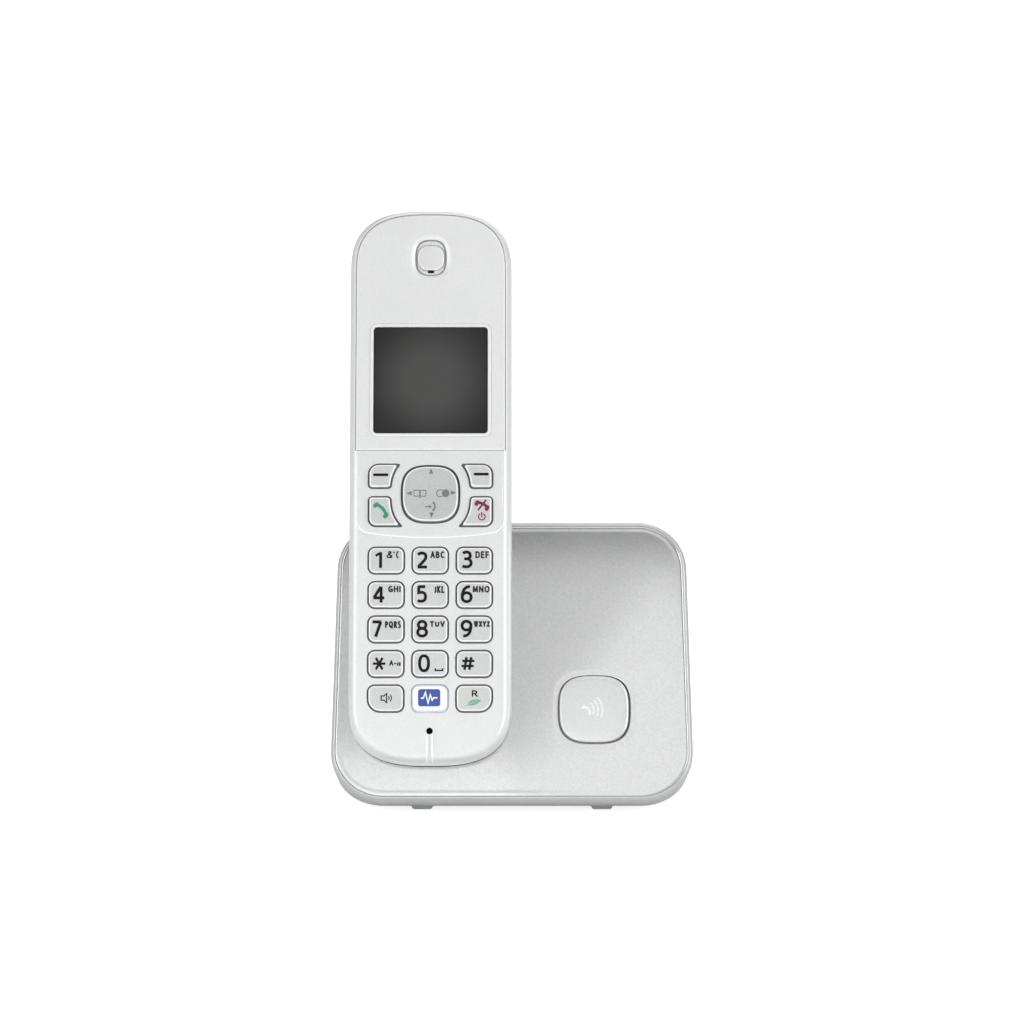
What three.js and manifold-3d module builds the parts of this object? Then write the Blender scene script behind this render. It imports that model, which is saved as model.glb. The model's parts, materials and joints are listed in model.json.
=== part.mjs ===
// Cordless telephone: a handset that stands in a wedge-shaped charging base.
//
// Units are millimetres. The part's frame has +Z up, +X to the right of somebody who faces
// the phone and -Y towards them. The origin is on the table, under the middle of the object.
//
// Three sets of coordinates are used:
//   part     the frame above
//   plate    x right, y up along the sloping front plate of the base, z out of the plate
//   handset  the same directions, from the bottom tip of the handset, z as in plate
import * as THREE from "three";
import { mergeVertices } from "three/addons/utils/BufferGeometryUtils.js";
import Module from "manifold-3d";

const wasm = await Module();
wasm.setup();

// ---------------------------------------------------------------- driving dimensions
const TILT = THREE.MathUtils.degToRad(63); // front plate from the table
const PLATE_Y = -40.175; // part Y of the plate's lower front edge
const PLATE_Z = 6.0; // and its height
const FOOT_H = 1.8; // rubber feet

const BASE_W = 103.5; // base, across the bottom
const BASE_TOP_W = 100.5; // across the top corners
const BASE_H = 81.2; // along the plate
const BASE_R_LOW = 15;
const BASE_R_TOP = 14;
const WALL = 2.2;
const BASE_DEPTH = 86; // front edge to rear wall, along the table
const REAR_WALL_H = 23; // upright part of the rear wall

const HS_L = 160.2; // handset length
const HS_W = 46.5; // width
const HS_END = 19; // length of the rounded ends
const HS_N = 2.8; // their superellipse power
const HS_X = -23.28; // handset centre on the plate
const HS_Y = 10.3; // its bottom tip on the plate
const PART_Z = 5.0; // parting plane between front and rear covers
const FACE_Z = 13.0; // front face above the plate
const BACK_Z = -12.0; // back face below the plate
const SHELL = 1.6;

const KEY_GAP = 0.5; // key to cover
const KEY_TRAVEL = 0.6;
const NAV_GAP = 0.65;
const BUTTON_GAP = 0.5;

// ---------------------------------------------------------------- helpers
const V2 = (x, y) => new THREE.Vector2(x, y);

function solidOf(geometry) {
  let g = geometry.clone();
  g.deleteAttribute("normal");
  g.deleteAttribute("uv");
  g = mergeVertices(g, 1e-4);
  return new wasm.Manifold(
    new wasm.Mesh({
      numProp: 3,
      vertProperties: new Float32Array(g.attributes.position.array),
      triVerts: new Uint32Array(g.index.array),
    }),
  );
}

function geometryOf(solid) {
  const m = solid.getMesh();
  const v = new Float32Array(m.numVert * 3);
  for (let i = 0; i < m.numVert; i++)
    v.set(m.vertProperties.subarray(i * m.numProp, i * m.numProp + 3), i * 3);
  const g = new THREE.BufferGeometry();
  g.setAttribute("position", new THREE.BufferAttribute(v, 3));
  g.setIndex(new THREE.BufferAttribute(new Uint32Array(m.triVerts), 1));
  g.computeVertexNormals();
  return g;
}

const moved = (solid, matrix) => solidOf(geometryOf(solid).applyMatrix4(matrix));
const unionOf = (...s) => s.reduce((a, b) => a.add(b));
const cutBy = (s, ...tools) => tools.reduce((a, b) => a.subtract(b), s);

// Rings of points with rising z, each counter-clockwise seen from +z, skinned and capped.
function loft(levels) {
  const n = levels[0].points.length;
  const pos = [];
  for (const l of levels) for (const p of l.points) pos.push(p.x, p.y, l.z);
  const index = [];
  for (let i = 0; i + 1 < levels.length; i++)
    for (let j = 0; j < n; j++) {
      const a = i * n + j,
        b = i * n + ((j + 1) % n),
        c = b + n,
        d = a + n;
      index.push(a, b, c, a, c, d);
    }
  const low = THREE.ShapeUtils.triangulateShape(levels[0].points, []);
  const high = THREE.ShapeUtils.triangulateShape(levels.at(-1).points, []);
  const top = (levels.length - 1) * n;
  for (const [a, b, c] of low) index.push(a, c, b);
  for (const [a, b, c] of high) index.push(top + a, top + b, top + c);
  const g = new THREE.BufferGeometry();
  g.setAttribute("position", new THREE.Float32BufferAttribute(pos, 3));
  g.setIndex(index);
  return solidOf(g);
}

const prism = (points, z0, z1) => loft([{ z: z0, points }, { z: z1, points }]);

function block(x0, x1, y0, y1, z0, z1) {
  const g = new THREE.BoxGeometry(x1 - x0, y1 - y0, z1 - z0);
  g.translate((x0 + x1) / 2, (y0 + y1) / 2, (z0 + z1) / 2);
  return solidOf(g);
}

// A round bar along z, x or y.
function bar(r, from, to, sides = 16, along = "z") {
  const g = new THREE.CylinderGeometry(r, r, from.distanceTo(to), sides);
  if (along === "z") g.rotateX(Math.PI / 2);
  if (along === "x") g.rotateZ(Math.PI / 2);
  const c = from.clone().add(to).multiplyScalar(0.5);
  g.translate(c.x, c.y, c.z);
  return solidOf(g);
}
const V3 = (x, y, z) => new THREE.Vector3(x, y, z);

// A profile in (y, z) drawn out along x.
function prismX(yz, x0, x1) {
  const shape = new THREE.Shape(yz.map(([y, z]) => V2(y, z)));
  const g = new THREE.ExtrudeGeometry(shape, {
    depth: x1 - x0,
    bevelEnabled: false,
  });
  g.applyMatrix4(
    new THREE.Matrix4().set(0, 0, 1, x0, 1, 0, 0, 0, 0, 1, 0, 0, 0, 0, 0, 1),
  );
  return solidOf(g);
}

function roundRect(cx, cy, w, h, radii, seg = 3) {
  const [bl, br, tr, tl] = Array.isArray(radii) ? radii : Array(4).fill(radii);
  const out = [];
  const corner = (x, y, r, from) => {
    for (let i = 0; i <= seg; i++) {
      const t = from + (i / seg) * (Math.PI / 2);
      out.push(V2(x + r * Math.cos(t), y + r * Math.sin(t)));
    }
  };
  corner(cx - w / 2 + bl, cy - h / 2 + bl, bl, Math.PI);
  corner(cx + w / 2 - br, cy - h / 2 + br, br, 1.5 * Math.PI);
  corner(cx + w / 2 - tr, cy + h / 2 - tr, tr, 0);
  corner(cx - w / 2 + tl, cy + h / 2 - tl, tl, 0.5 * Math.PI);
  return out;
}

function superellipse(cx, cy, a, b, power, count) {
  const out = [];
  for (let i = 0; i < count; i++) {
    const t = ((i + 0.5) / count) * 2 * Math.PI;
    const c = Math.cos(t),
      s = Math.sin(t);
    out.push(
      V2(
        cx + a * Math.sign(c) * Math.abs(c) ** (2 / power),
        cy + b * Math.sign(s) * Math.abs(s) ** (2 / power),
      ),
    );
  }
  return out;
}

// The handset's outline drawn in by d, in handset coordinates.
function handsetOutline(d, seg = 7, low = d, high = HS_L - d) {
  const a = HS_W / 2 - d,
    b = HS_END - d,
    out = [];
  for (let half = 0; half < 2; half++)
    for (let i = 0; i <= 2 * seg; i++) {
      const t = Math.PI * half + (i / (2 * seg)) * Math.PI + Math.PI;
      const c = Math.cos(t),
        s = Math.sin(t);
      const x = a * Math.sign(c) * Math.abs(c) ** (2 / HS_N);
      const y = b * Math.sign(s) * Math.abs(s) ** (2 / HS_N);
      out.push(V2(x, half === 0 ? low + b + y : high - b + y));
    }
  return out;
}

// How far the handset's skin is drawn in at each height: the rear cover, then the front.
const REAR_SKIN = [
  [BACK_Z, 10.5],
  [-11.3, 8.0],
  [-9.8, 5.6],
  [-7.2, 3.2],
  [-4.0, 1.5],
  [0, 0.45],
  [PART_Z, 0],
];
const FRONT_SKIN = [
  [PART_Z, 0],
  [9.2, 0.15],
  [11.2, 0.65],
  [12.4, 1.6],
  [FACE_Z, 3.0],
];
function skinIn(z) {
  const all = [...REAR_SKIN, ...FRONT_SKIN.slice(1)];
  for (let i = 0; i + 1 < all.length; i++)
    if (z <= all[i + 1][0])
      return (
        all[i][1] +
        ((all[i + 1][1] - all[i][1]) * (z - all[i][0])) /
          (all[i + 1][0] - all[i][0])
      );
  return all.at(-1)[1];
}

// The base's outline in plate coordinates, drawn in by d at the sides and top and by low at the bottom.
function baseOutline(d, low = d, seg = 6) {
  const xl = BASE_W / 2 - BASE_R_LOW,
    xt = BASE_TOP_W / 2 - BASE_R_TOP,
    yt = BASE_H - BASE_R_TOP;
  const out = [];
  const arc = (cx, cy, rx, ry, from) => {
    for (let i = 0; i <= seg; i++) {
      const t = from + (i / seg) * (Math.PI / 2);
      out.push(V2(cx + rx * Math.cos(t), cy + ry * Math.sin(t)));
    }
  };
  arc(-xl, BASE_R_LOW, BASE_R_LOW - d, BASE_R_LOW - low, Math.PI);
  arc(xl, BASE_R_LOW, BASE_R_LOW - d, BASE_R_LOW - low, 1.5 * Math.PI);
  arc(xt, yt, BASE_R_TOP - d, BASE_R_TOP - d, 0);
  arc(-xt, yt, BASE_R_TOP - d, BASE_R_TOP - d, 0.5 * Math.PI);
  return out;
}

const shifted = (points, x, y) => points.map((p) => V2(p.x + x, p.y + y));

// plate -> part, and part (Y, Z) -> plate (y, z)
const PLATE = new THREE.Matrix4()
  .makeTranslation(0, PLATE_Y, PLATE_Z)
  .multiply(new THREE.Matrix4().makeRotationX(TILT));
const toPlate = (Y, Z) => {
  const v = V3(0, Y, Z).applyMatrix4(PLATE.clone().invert());
  return [v.y, v.z];
};

// ---------------------------------------------------------------- materials
const paint = (color, roughness, metalness = 0) =>
  new THREE.MeshStandardMaterial({ color, roughness, metalness });
const M = {
  white: paint(0xe9eaea, 0.35),
  fascia: paint(0xdfe1e1, 0.35),
  silver: paint(0xc6c8ca, 0.38, 0.4),
  housing: paint(0xd5d7d8, 0.4),
  key: paint(0xd4d5d6, 0.4),
  clearKey: paint(0xcfd6e6, 0.2),
  window: paint(0x2c2c2c, 0.1),
  trim: paint(0xc9cbcc, 0.2, 0.7),
  rubber: paint(0x6f7072, 0.8),
  silicone: paint(0x4b4d50, 0.7),
  board: paint(0x2c5a3c, 0.6),
  metal: paint(0xb9bbbd, 0.3, 1),
  black: paint(0x1c1c1e, 0.5),
  cell: paint(0x6c9a86, 0.45, 0.2),
  lcd: paint(0x55585a, 0.3),
};

const handset = new THREE.Group();
const plate = new THREE.Group();
const root = new THREE.Group();
plate.applyMatrix4(PLATE);
handset.position.set(HS_X, HS_Y, 0);
plate.add(handset);
root.add(plate);

function add(group, name, solid, material) {
  const mesh = new THREE.Mesh(geometryOf(solid), material);
  mesh.name = name;
  group.add(mesh);
  return mesh;
}

// ================================================================ HANDSET
// ---- key outlines, in handset coordinates (the hole in the cover is KEY_GAP larger)
const COL = [-12.42, 0.08, 12.58];
const ROW = [57.65, 47.8, 37.95, 28.1, 18.25]; // rows 1-2-3, 4-5-6, 7-8-9, *-0-#, functions
const KEY_W = 9.75,
  KEY_H = 7.15,
  KEY_R = 1.75;
const DIAL = [
  ["key_1", 0, 0],
  ["key_2", 1, 0],
  ["key_3", 2, 0],
  ["key_4", 0, 1],
  ["key_5", 1, 1],
  ["key_6", 2, 1],
  ["key_7", 0, 2],
  ["key_8", 1, 2],
  ["key_9", 2, 2],
  ["key_star", 0, 3],
  ["key_0", 1, 3],
  ["key_hash", 2, 3],
];
// Every key's outline is a function of how far it is drawn in, so a flange is a negative draw.
const rectKey =
  (c, r, radii = [KEY_R, KEY_R, KEY_R, KEY_R]) =>
  (d) =>
    roundRect(
      COL[c],
      ROW[r],
      KEY_W - 2 * d,
      KEY_H - 2 * d,
      radii.map((v) => Math.max(v - d, 0.4)),
    );
const keys = DIAL.map(([name, c, r]) => ({
  name,
  outline: rectKey(c, r),
  material: M.key,
}));
keys.push({
  name: "key_speaker",
  outline: rectKey(0, 4, [3.4, KEY_R, KEY_R, KEY_R]),
  material: M.key,
});
keys.push({ name: "key_noise", outline: rectKey(1, 4), material: M.clearKey });
keys.push({
  name: "key_recall",
  outline: rectKey(2, 4, [KEY_R, 3.4, KEY_R, KEY_R]),
  material: M.key,
});

// Soft keys and talk keys: the side next to the navigator follows an arc round it.
const NAV_X = 0.08,
  NAV_Y = 76.8,
  NAV_A = 7.9,
  NAV_B = 7.9;
const SIDE_R = 11.6, // half-size of that curve
  SIDE_N = 2.6, // and its superellipse power
  SIDE_OUT = -17.3; // outer edge of the left keys
const sideKey = (low, high, rLow, rHigh) => (d) => {
  const xo = SIDE_OUT + d,
    y0 = low + d,
    y1 = high - d,
    R = SIDE_R + d;
  const arcX = (y) =>
    NAV_X -
    R * (1 - Math.abs((y - NAV_Y) / R) ** SIDE_N) ** (1 / SIDE_N);
  const pts = [];
  const corner = (x, y, rad, from) => {
    for (let i = 0; i <= 2; i++) {
      const t = from + (i / 2) * (Math.PI / 2);
      pts.push(V2(x + rad * Math.cos(t), y + rad * Math.sin(t)));
    }
  };
  const ra = Math.max(rLow - d, 0.25),
    rb = Math.max(rHigh - d, 0.25);
  corner(xo + ra, y0 + ra, ra, Math.PI);
  for (let i = 0; i <= 5; i++) {
    const y = y0 + ((y1 - y0) * i) / 5;
    pts.push(V2(arcX(y), y));
  }
  corner(xo + rb, y1 - rb, rb, 0.5 * Math.PI);
  return pts;
};
const flipped = (f) => (d) =>
  f(d)
    .map((p) => V2(2 * NAV_X - p.x, p.y))
    .reverse();
const soft = sideKey(78.8, 85.2, 0.8, 2.6),
  talk = sideKey(67.8, 75.8, 1.9, 0.8);
keys.push({ name: "key_soft_left", outline: soft, material: M.key });
keys.push({ name: "key_soft_right", outline: flipped(soft), material: M.key });
keys.push({ name: "key_talk", outline: talk, material: M.key });
keys.push({ name: "key_off", outline: flipped(talk), material: M.key });

const navOutline = (d) => superellipse(NAV_X, NAV_Y, NAV_A - d, NAV_B - d, 2.9, 24);

// ---- heights
const FLOOR_Z = 11.95; // fascia pocket
const UNDER_Z = 10.9; // underside of the front cover
const KEY_TOP = 13.5;

// ---- front cover
const frontOuter = loft(
  FRONT_SKIN.map(([z, d]) => ({ z, points: handsetOutline(d) })),
);
const frontInner = prism(handsetOutline(1.95), PART_Z - 1, UNDER_Z);
// fascia outline: the handset's outline drawn in, closed by a straight lower edge
const SEAM_Y = 89.5;
const fasciaOutline = (d) =>
  handsetOutline(2.3 + d, 7, 2.3 + d, HS_L - 1.5 - d).map((p) => p.clone());
const aboveSeam = (d) =>
  block(-40, 40, SEAM_Y + d, HS_L + 5, FLOOR_Z - 5, FACE_Z + 5);
const fasciaPocket = prism(fasciaOutline(-0.15), FLOOR_Z, FACE_Z + 1).intersect(
  aboveSeam(-0.15),
);
const LCD_Y = 109.8,
  LCD_W = 32.6,
  LCD_H = 30.8; // visible window
const EAR_Y = 146.3;
const MIC_Y = 9.05;
let frontCover = cutBy(
  frontOuter,
  frontInner,
  fasciaPocket,
  block(-15, 15, LCD_Y - 14, LCD_Y + 14, UNDER_Z - 1, FACE_Z),
  prism(superellipse(0, EAR_Y, 4.5, 5.2, 3, 16), UNDER_Z - 1, FACE_Z),
  bar(0.9, V3(0, MIC_Y, UNDER_Z - 1), V3(0, MIC_Y, FACE_Z + 1), 12),
);
for (const k of keys)
  frontCover = frontCover.subtract(
    prism(k.outline(-KEY_GAP), UNDER_Z - 1, FACE_Z + 1),
  );
frontCover = frontCover.subtract(
  prism(navOutline(-NAV_GAP), UNDER_Z - 1, FACE_Z + 1),
);
add(handset, "handset_front_cover", frontCover, M.white);

// ---- fascia round the display, with its window and the earpiece hole
add(
  handset,
  "display_fascia",
  cutBy(
    prism(fasciaOutline(0), FLOOR_Z + 0.15, FACE_Z).intersect(aboveSeam(0)),
    prism(
      roundRect(0, LCD_Y, LCD_W + 0.5, LCD_H + 0.5, 1.2, 2),
      FLOOR_Z,
      FACE_Z + 1,
    ),
    prism(superellipse(0, EAR_Y, 4.5, 5.2, 3, 16), FLOOR_Z, FACE_Z + 1),
  ),
  M.fascia,
);
add(
  handset,
  "display_window",
  prism(roundRect(0, LCD_Y, LCD_W, LCD_H, 1.0, 2), FLOOR_Z + 0.15, 12.75),
  M.window,
);
add(
  handset,
  "lcd_module",
  block(-18, 18, LCD_Y - 17.5, LCD_Y + 17.5, 7.2, 10.6),
  M.lcd,
);
add(
  handset,
  "earpiece_trim",
  cutBy(
    loft([
      { z: 11.2, points: superellipse(0, EAR_Y, 4.2, 4.9, 3, 16) },
      { z: 12.9, points: superellipse(0, EAR_Y, 4.2, 4.9, 3, 16) },
      { z: 13.25, points: superellipse(0, EAR_Y, 3.8, 4.5, 3, 16) },
    ]),
    block(-0.85, 0.85, EAR_Y - 4.3, EAR_Y - 3.5, 11, 14),
  ),
  M.trim,
);
add(
  handset,
  "earpiece_speaker",
  bar(6.5, V3(0, EAR_Y, 7.2), V3(0, EAR_Y, 10.6), 20),
  M.black,
);

// ---- keys: a cap that stands through the cover, with a flange under it
function keyCap(outline, z0, zs, z1, flange) {
  return loft([
    { z: z0, points: outline(-flange) },
    { z: zs, points: outline(-flange) },
    { z: zs, points: outline(0) },
    { z: z1 - 0.35, points: outline(0) },
    { z: z1, points: outline(0.4) },
  ]);
}
for (const k of keys)
  add(handset, k.name, keyCap(k.outline, 9.8, 10.6, KEY_TOP, 0.8), k.material);
add(
  handset,
  "navigator_key",
  keyCap(navOutline, 9.6, 10.05, 13.45, 0.9),
  M.key,
);
add(
  handset,
  "navigator_carrier",
  bar(5.8, V3(NAV_X, NAV_Y, 8.1), V3(NAV_X, NAV_Y, 8.9), 20),
  M.black,
);

// ---- silicone mat with a dome under every key
let mat = prism(roundRect(0, 49.5, 38.6, 73.4, 6, 3), 6.4, 7.2);
for (const k of keys) {
  const box = new THREE.Box2().setFromPoints(k.outline(0));
  const c = box.getCenter(V2(0, 0));
  mat = mat.add(bar(1.9, V3(c.x, c.y, 7.0), V3(c.x, c.y, 9.0), 8));
}
for (const [dx, dy] of [
  [5, 0],
  [-5, 0],
  [0, 5],
  [0, -5],
])
  mat = mat.add(
    bar(1.2, V3(NAV_X + dx, NAV_Y + dy, 7.0), V3(NAV_X + dx, NAV_Y + dy, 7.6), 6),
  );
add(handset, "keypad_mat", mat, M.silicone);

add(
  handset,
  "handset_board",
  prism(handsetOutline(2.6, 4, 4.0, HS_L - 4), 5.05, 6.1),
  M.board,
);
add(
  handset,
  "microphone",
  bar(3.0, V3(0, MIC_Y, 7.4), V3(0, MIC_Y, 9.9), 12),
  M.black,
);

// ---- rear cover: skin, battery tray, bed for the battery cover
const rearOuter = loft(
  REAR_SKIN.map(([z, d]) => ({ z, points: handsetOutline(d) })),
);
const rearOffset = (t, top = PART_Z + 1) =>
  loft([
    ...REAR_SKIN.slice(0, -1).map(([z, d]) => ({
      z: z + t,
      points: handsetOutline(d + t * (d > 1 ? 0.75 : 1)),
    })),
    { z: top, points: handsetOutline(t) },
  ]);
const COVER_X = 15,
  COVER_Y0 = 25.6,
  COVER_Y1 = 84,
  COVER_T = 1.5,
  COVER_SLIDE = 5;
const skinWall = rearOuter.subtract(rearOffset(SHELL));
const support = block(-17, 17, 18.8, 86.2, BACK_Z, -8.4).intersect(rearOuter);
const tray = block(-12.6, 12.6, 22.4, 77.2, -9, 1.8);
const well = block(-11.1, 11.1, 24, 75.5, BACK_Z - 1, 0.5);
const bed = block(
  -COVER_X - 0.2,
  COVER_X + 0.2,
  COVER_Y0 - COVER_SLIDE - 0.4,
  COVER_Y1 + 0.2,
  BACK_Z - 1,
  0,
).subtract(rearOffset(COVER_T + 0.2));
let rearCover = cutBy(unionOf(skinWall, support, tray), well, bed);
// loudspeaker slots
for (let i = -2; i <= 2; i++)
  rearCover = rearCover.subtract(
    block(-7, 7, 98 + i * 2.6 - 0.6, 98 + i * 2.6 + 0.6, BACK_Z - 1, -9.8),
  );
// screw seats at the upper end of the bed
const SCREW_X = 8.5,
  SCREW_Y = 80.8;
for (const s of [-1, 1])
  rearCover = cutBy(
    rearCover,
    bar(1.3, V3(s * SCREW_X, SCREW_Y, -12), V3(s * SCREW_X, SCREW_Y, 0), 10),
    bar(2.5, V3(s * SCREW_X, SCREW_Y, -12), V3(s * SCREW_X, SCREW_Y, -9.0), 12),
  );
// windows for the charging contacts in the bottom end
const CON_X = 8,
  CON_W = 5,
  CON_Z0 = -7.4,
  CON_Z1 = -2.8;
for (const s of [-1, 1])
  rearCover = rearCover.subtract(
    block(
      s * CON_X - CON_W / 2 - 0.2,
      s * CON_X + CON_W / 2 + 0.2,
      -1,
      8,
      CON_Z0 - 0.2,
      CON_Z1 + 0.2,
    ),
  );
add(handset, "handset_rear_cover", rearCover, M.white);

add(
  handset,
  "battery_cover",
  rearOuter
    .intersect(
      block(-COVER_X, COVER_X, COVER_Y0, COVER_Y1, BACK_Z - 1, 0),
    )
    .subtract(rearOffset(COVER_T)),
  M.white,
);
for (const [name, s] of [
  ["handset_contact_left", -1],
  ["handset_contact_right", 1],
])
  add(
    handset,
    name,
    rearOuter
      .intersect(
        block(
          s * CON_X - CON_W / 2,
          s * CON_X + CON_W / 2,
          -1,
          9,
          CON_Z0,
          CON_Z1,
        ),
      )
      .subtract(rearOffset(0.9)),
    M.metal,
  );
for (const [name, s] of [
  ["handset_screw_left", -1],
  ["handset_screw_right", 1],
]) {
  const g = new THREE.LatheGeometry(
    [
      V2(0, -10.1),
      V2(2.1, -10.1),
      V2(2.2, -9.6),
      V2(2.2, -9.0 - 0.2),
      V2(1.05, -9.2),
      V2(1.05, -1.4),
      V2(0, -0.6),
    ],
    12,
  );
  g.rotateX(Math.PI / 2);
  g.translate(s * SCREW_X, SCREW_Y, 0);
  // a cross slot in the head
  const cx = s * SCREW_X;
  add(
    handset,
    name,
    cutBy(
      solidOf(g),
      block(cx - 1.2, cx + 1.2, SCREW_Y - 0.25, SCREW_Y + 0.25, -10.5, -9.6),
      block(cx - 0.25, cx + 0.25, SCREW_Y - 1.2, SCREW_Y + 1.2, -10.5, -9.6),
    ),
    M.metal,
  );
}

// ---- two AAA cells, end to end the opposite way, with their contacts
const CELL_R = 5.2,
  CELL_X = 5.4,
  CELL_Z = -4.85;
for (const [name, s] of [
  ["battery_cell_left", -1],
  ["battery_cell_right", 1],
]) {
  const g = new THREE.LatheGeometry(
    [
      V2(0, 27.6),
      V2(4.7, 27.6),
      V2(CELL_R, 28.2),
      V2(CELL_R, 70.5),
      V2(4.6, 71.2),
      V2(1.9, 71.2),
      V2(1.8, 72.1),
      V2(0, 72.1),
    ],
    16,
  );
  if (s > 0) {
    g.rotateX(Math.PI);
    g.translate(0, 27.6 + 72.1, 0);
  }
  g.translate(s * CELL_X, 0, CELL_Z);
  add(handset, name, solidOf(g), M.cell);
}
add(
  handset,
  "battery_link_plate",
  unionOf(
    block(-9.6, 9.6, 24.2, 24.8, -8.6, -1.2),
    bar(2.4, V3(-CELL_X, 24.6, CELL_Z), V3(-CELL_X, 27.4, CELL_Z), 10, "y"),
  ),
  M.metal,
);
for (const [name, s] of [
  ["battery_terminal_left", -1],
  ["battery_terminal_right", 1],
]) {
  const cx = s * CELL_X;
  let t = block(cx - 3.8, cx + 3.8, 74.7, 75.3, -8.6, -1.2);
  if (s > 0)
    t = t.add(bar(2.4, V3(cx, 72.3, CELL_Z), V3(cx, 74.9, CELL_Z), 10, "y"));
  add(handset, name, t, M.metal);
}
add(
  handset,
  "loudspeaker",
  unionOf(
    bar(10, V3(0, 98, -10.1), V3(0, 98, -7.6), 20),
    bar(6.5, V3(0, 98, -7.7), V3(0, 98, -5.0), 16),
  ),
  M.black,
);

// ================================================================ BASE
// The cradle: the handset's rear skin, a little larger, run out through the top edge.
const CRADLE = [
  [-12.6, 0.75],
  [-11.3, 0.8],
  [-9.8, 0.85],
  [-7.2, 0.9],
  [-4.0, 0.85],
  [0, 0.5],
  [3, 0.5],
];
function cradle(extra, zLow, zHigh) {
  const levels = CRADLE.map(([z, c]) => {
    const d = skinIn(Math.max(z, BACK_Z)) - c - extra;
    return {
      z: z <= -12.6 ? zLow : z,
      points: shifted(handsetOutline(d, 6, d, 130), HS_X, HS_Y),
    };
  });
  levels.at(-1).z = zHigh;
  return loft(levels);
}
const cradleIn = cradle(0, -12.6, 3);
const cradleOut = cradle(1.9, -14.6, -0.4);

const REBATE_D = 1.35,
  REBATE_LOW = 2.1; // rim of the rear housing, inside
let frontPlate = unionOf(
  prism(baseOutline(REBATE_D + 0.25, REBATE_LOW + 0.25), -2.2, 0),
  cradleOut.intersect(block(-70, 70, -10, BASE_H - 0.15, -20, 0)),
);
frontPlate = frontPlate.subtract(cradleIn);
// locator button hole
const BTN_X = 23.4,
  BTN_Y = 26.95,
  BTN_A = 9.9,
  BTN_B = 9.55;
const buttonOutline = (d) =>
  superellipse(BTN_X, BTN_Y, BTN_A - d, BTN_B - d, 3.0, 28);
frontPlate = frontPlate.subtract(
  prism(buttonOutline(-BUTTON_GAP), -5, 2),
);
// slots for the charging contacts in the lower end of the cradle
for (const s of [-1, 1])
  frontPlate = frontPlate.subtract(
    block(
      HS_X + s * CON_X - 1.9,
      HS_X + s * CON_X + 1.9,
      HS_Y - 3,
      HS_Y + 6,
      -7.0,
      -3.2,
    ),
  );
// two screw pillars, upright in the part's frame, cut off under the plate and the cradle
const INV = PLATE.clone().invert();
const PILLARS = [
  [42, -16.5],
  [-23.3, -9],
];
const FLOOR_TOP = FOOT_H + WALL; // inside of the base's floor
for (const [X, Y] of PILLARS) {
  const pillar = moved(
    bar(3.3, V3(X, Y, FLOOR_TOP + 0.3), V3(X, Y, 62), 14),
    INV,
  ).subtract(block(-80, 80, -20, 140, -1.2, 80));
  const bore = moved(
    bar(1.15, V3(X, Y, FLOOR_TOP - 2), V3(X, Y, FLOOR_TOP + 12), 10),
    INV,
  );
  const clearOfHandset = cradle(0.9, -13.6, 3);
  frontPlate = frontPlate.add(pillar.subtract(clearOfHandset)).subtract(bore);
}
add(plate, "base_front_cover", frontPlate, M.silver);

add(
  plate,
  "locator_button",
  loft([
    { z: -3.4, points: buttonOutline(-0.9) },
    { z: -2.55, points: buttonOutline(-0.9) },
    { z: -2.55, points: buttonOutline(0) },
    { z: 0.5, points: buttonOutline(0) },
    { z: 0.9, points: buttonOutline(0.5) },
  ]),
  M.silver,
);
add(
  plate,
  "locator_switch_board",
  unionOf(
    block(BTN_X - 12, BTN_X + 12, BTN_Y - 11, BTN_Y + 11, -11, -9.8),
    block(BTN_X - 3.1, BTN_X + 3.1, BTN_Y - 3.1, BTN_Y + 3.1, -9.9, -6.6),
    bar(1.7, V3(BTN_X, BTN_Y, -6.7), V3(BTN_X, BTN_Y, -4.5), 12),
  ),
  M.board,
);

// ---- charging contacts: bent leaves that stand through the cradle's lower end
const leaf = [
  [-5.6, -6.2],
  [-5.0, -6.5],
  [1.35, -6.0],
  [2.0, -5.2],
  [1.55, -4.3],
  [0.6, -4.0],
  [-2.2, -4.1],
  [-2.2, -4.6],
  [0.5, -4.55],
  [1.1, -4.75],
  [1.25, -5.2],
  [0.95, -5.5],
  [-4.9, -5.9],
  [-5.6, -5.7],
].reverse();
for (const [name, s] of [
  ["charge_contact_left", -1],
  ["charge_contact_right", 1],
])
  add(
    plate,
    name,
    prismX(
      leaf.map(([y, z]) => [HS_Y + y - 0.15, z]),
      HS_X + s * CON_X - 1.45,
      HS_X + s * CON_X + 1.45,
    ),
    M.metal,
  );

// ---- rear housing: the rim round the plate, the wedge behind it, the floor
const sideProfile = (t) => {
  // part (Y, Z) from the plate's lower edge; t is how far it is drawn in
  const back = BASE_DEPTH + PLATE_Y - t;
  const low = FOOT_H + t;
  const topY = PLATE_Y + 54.6,
    topZ = 71.6;
  const dir = V2(topY - (BASE_DEPTH + PLATE_Y), topZ - REAR_WALL_H).normalize();
  const nrm = V2(-dir.y, dir.x); // inwards
  const p = V2(BASE_DEPTH + PLATE_Y, REAR_WALL_H).addScaledVector(nrm, t);
  const at = (Z) => p.x + (dir.x * (Z - p.y)) / dir.y;
  const wallTop = p.y + ((back - p.x) * dir.y) / dir.x;
  const soft = [
    [back, wallTop - 5],
    [back - 0.9, wallTop - 1.2],
    [at(wallTop + 4) - 0.0, wallTop + 4],
  ];
  return [
    [-90, low],
    [back - 2.5, low],
    [back, low + 2.5],
    ...soft,
    [at(110), 110],
    [-90, 110],
  ];
};
const wedge = (t) =>
  prismX(
    sideProfile(t).map(([Y, Z]) => toPlate(Y, Z)),
    -70,
    70,
  );
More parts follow.
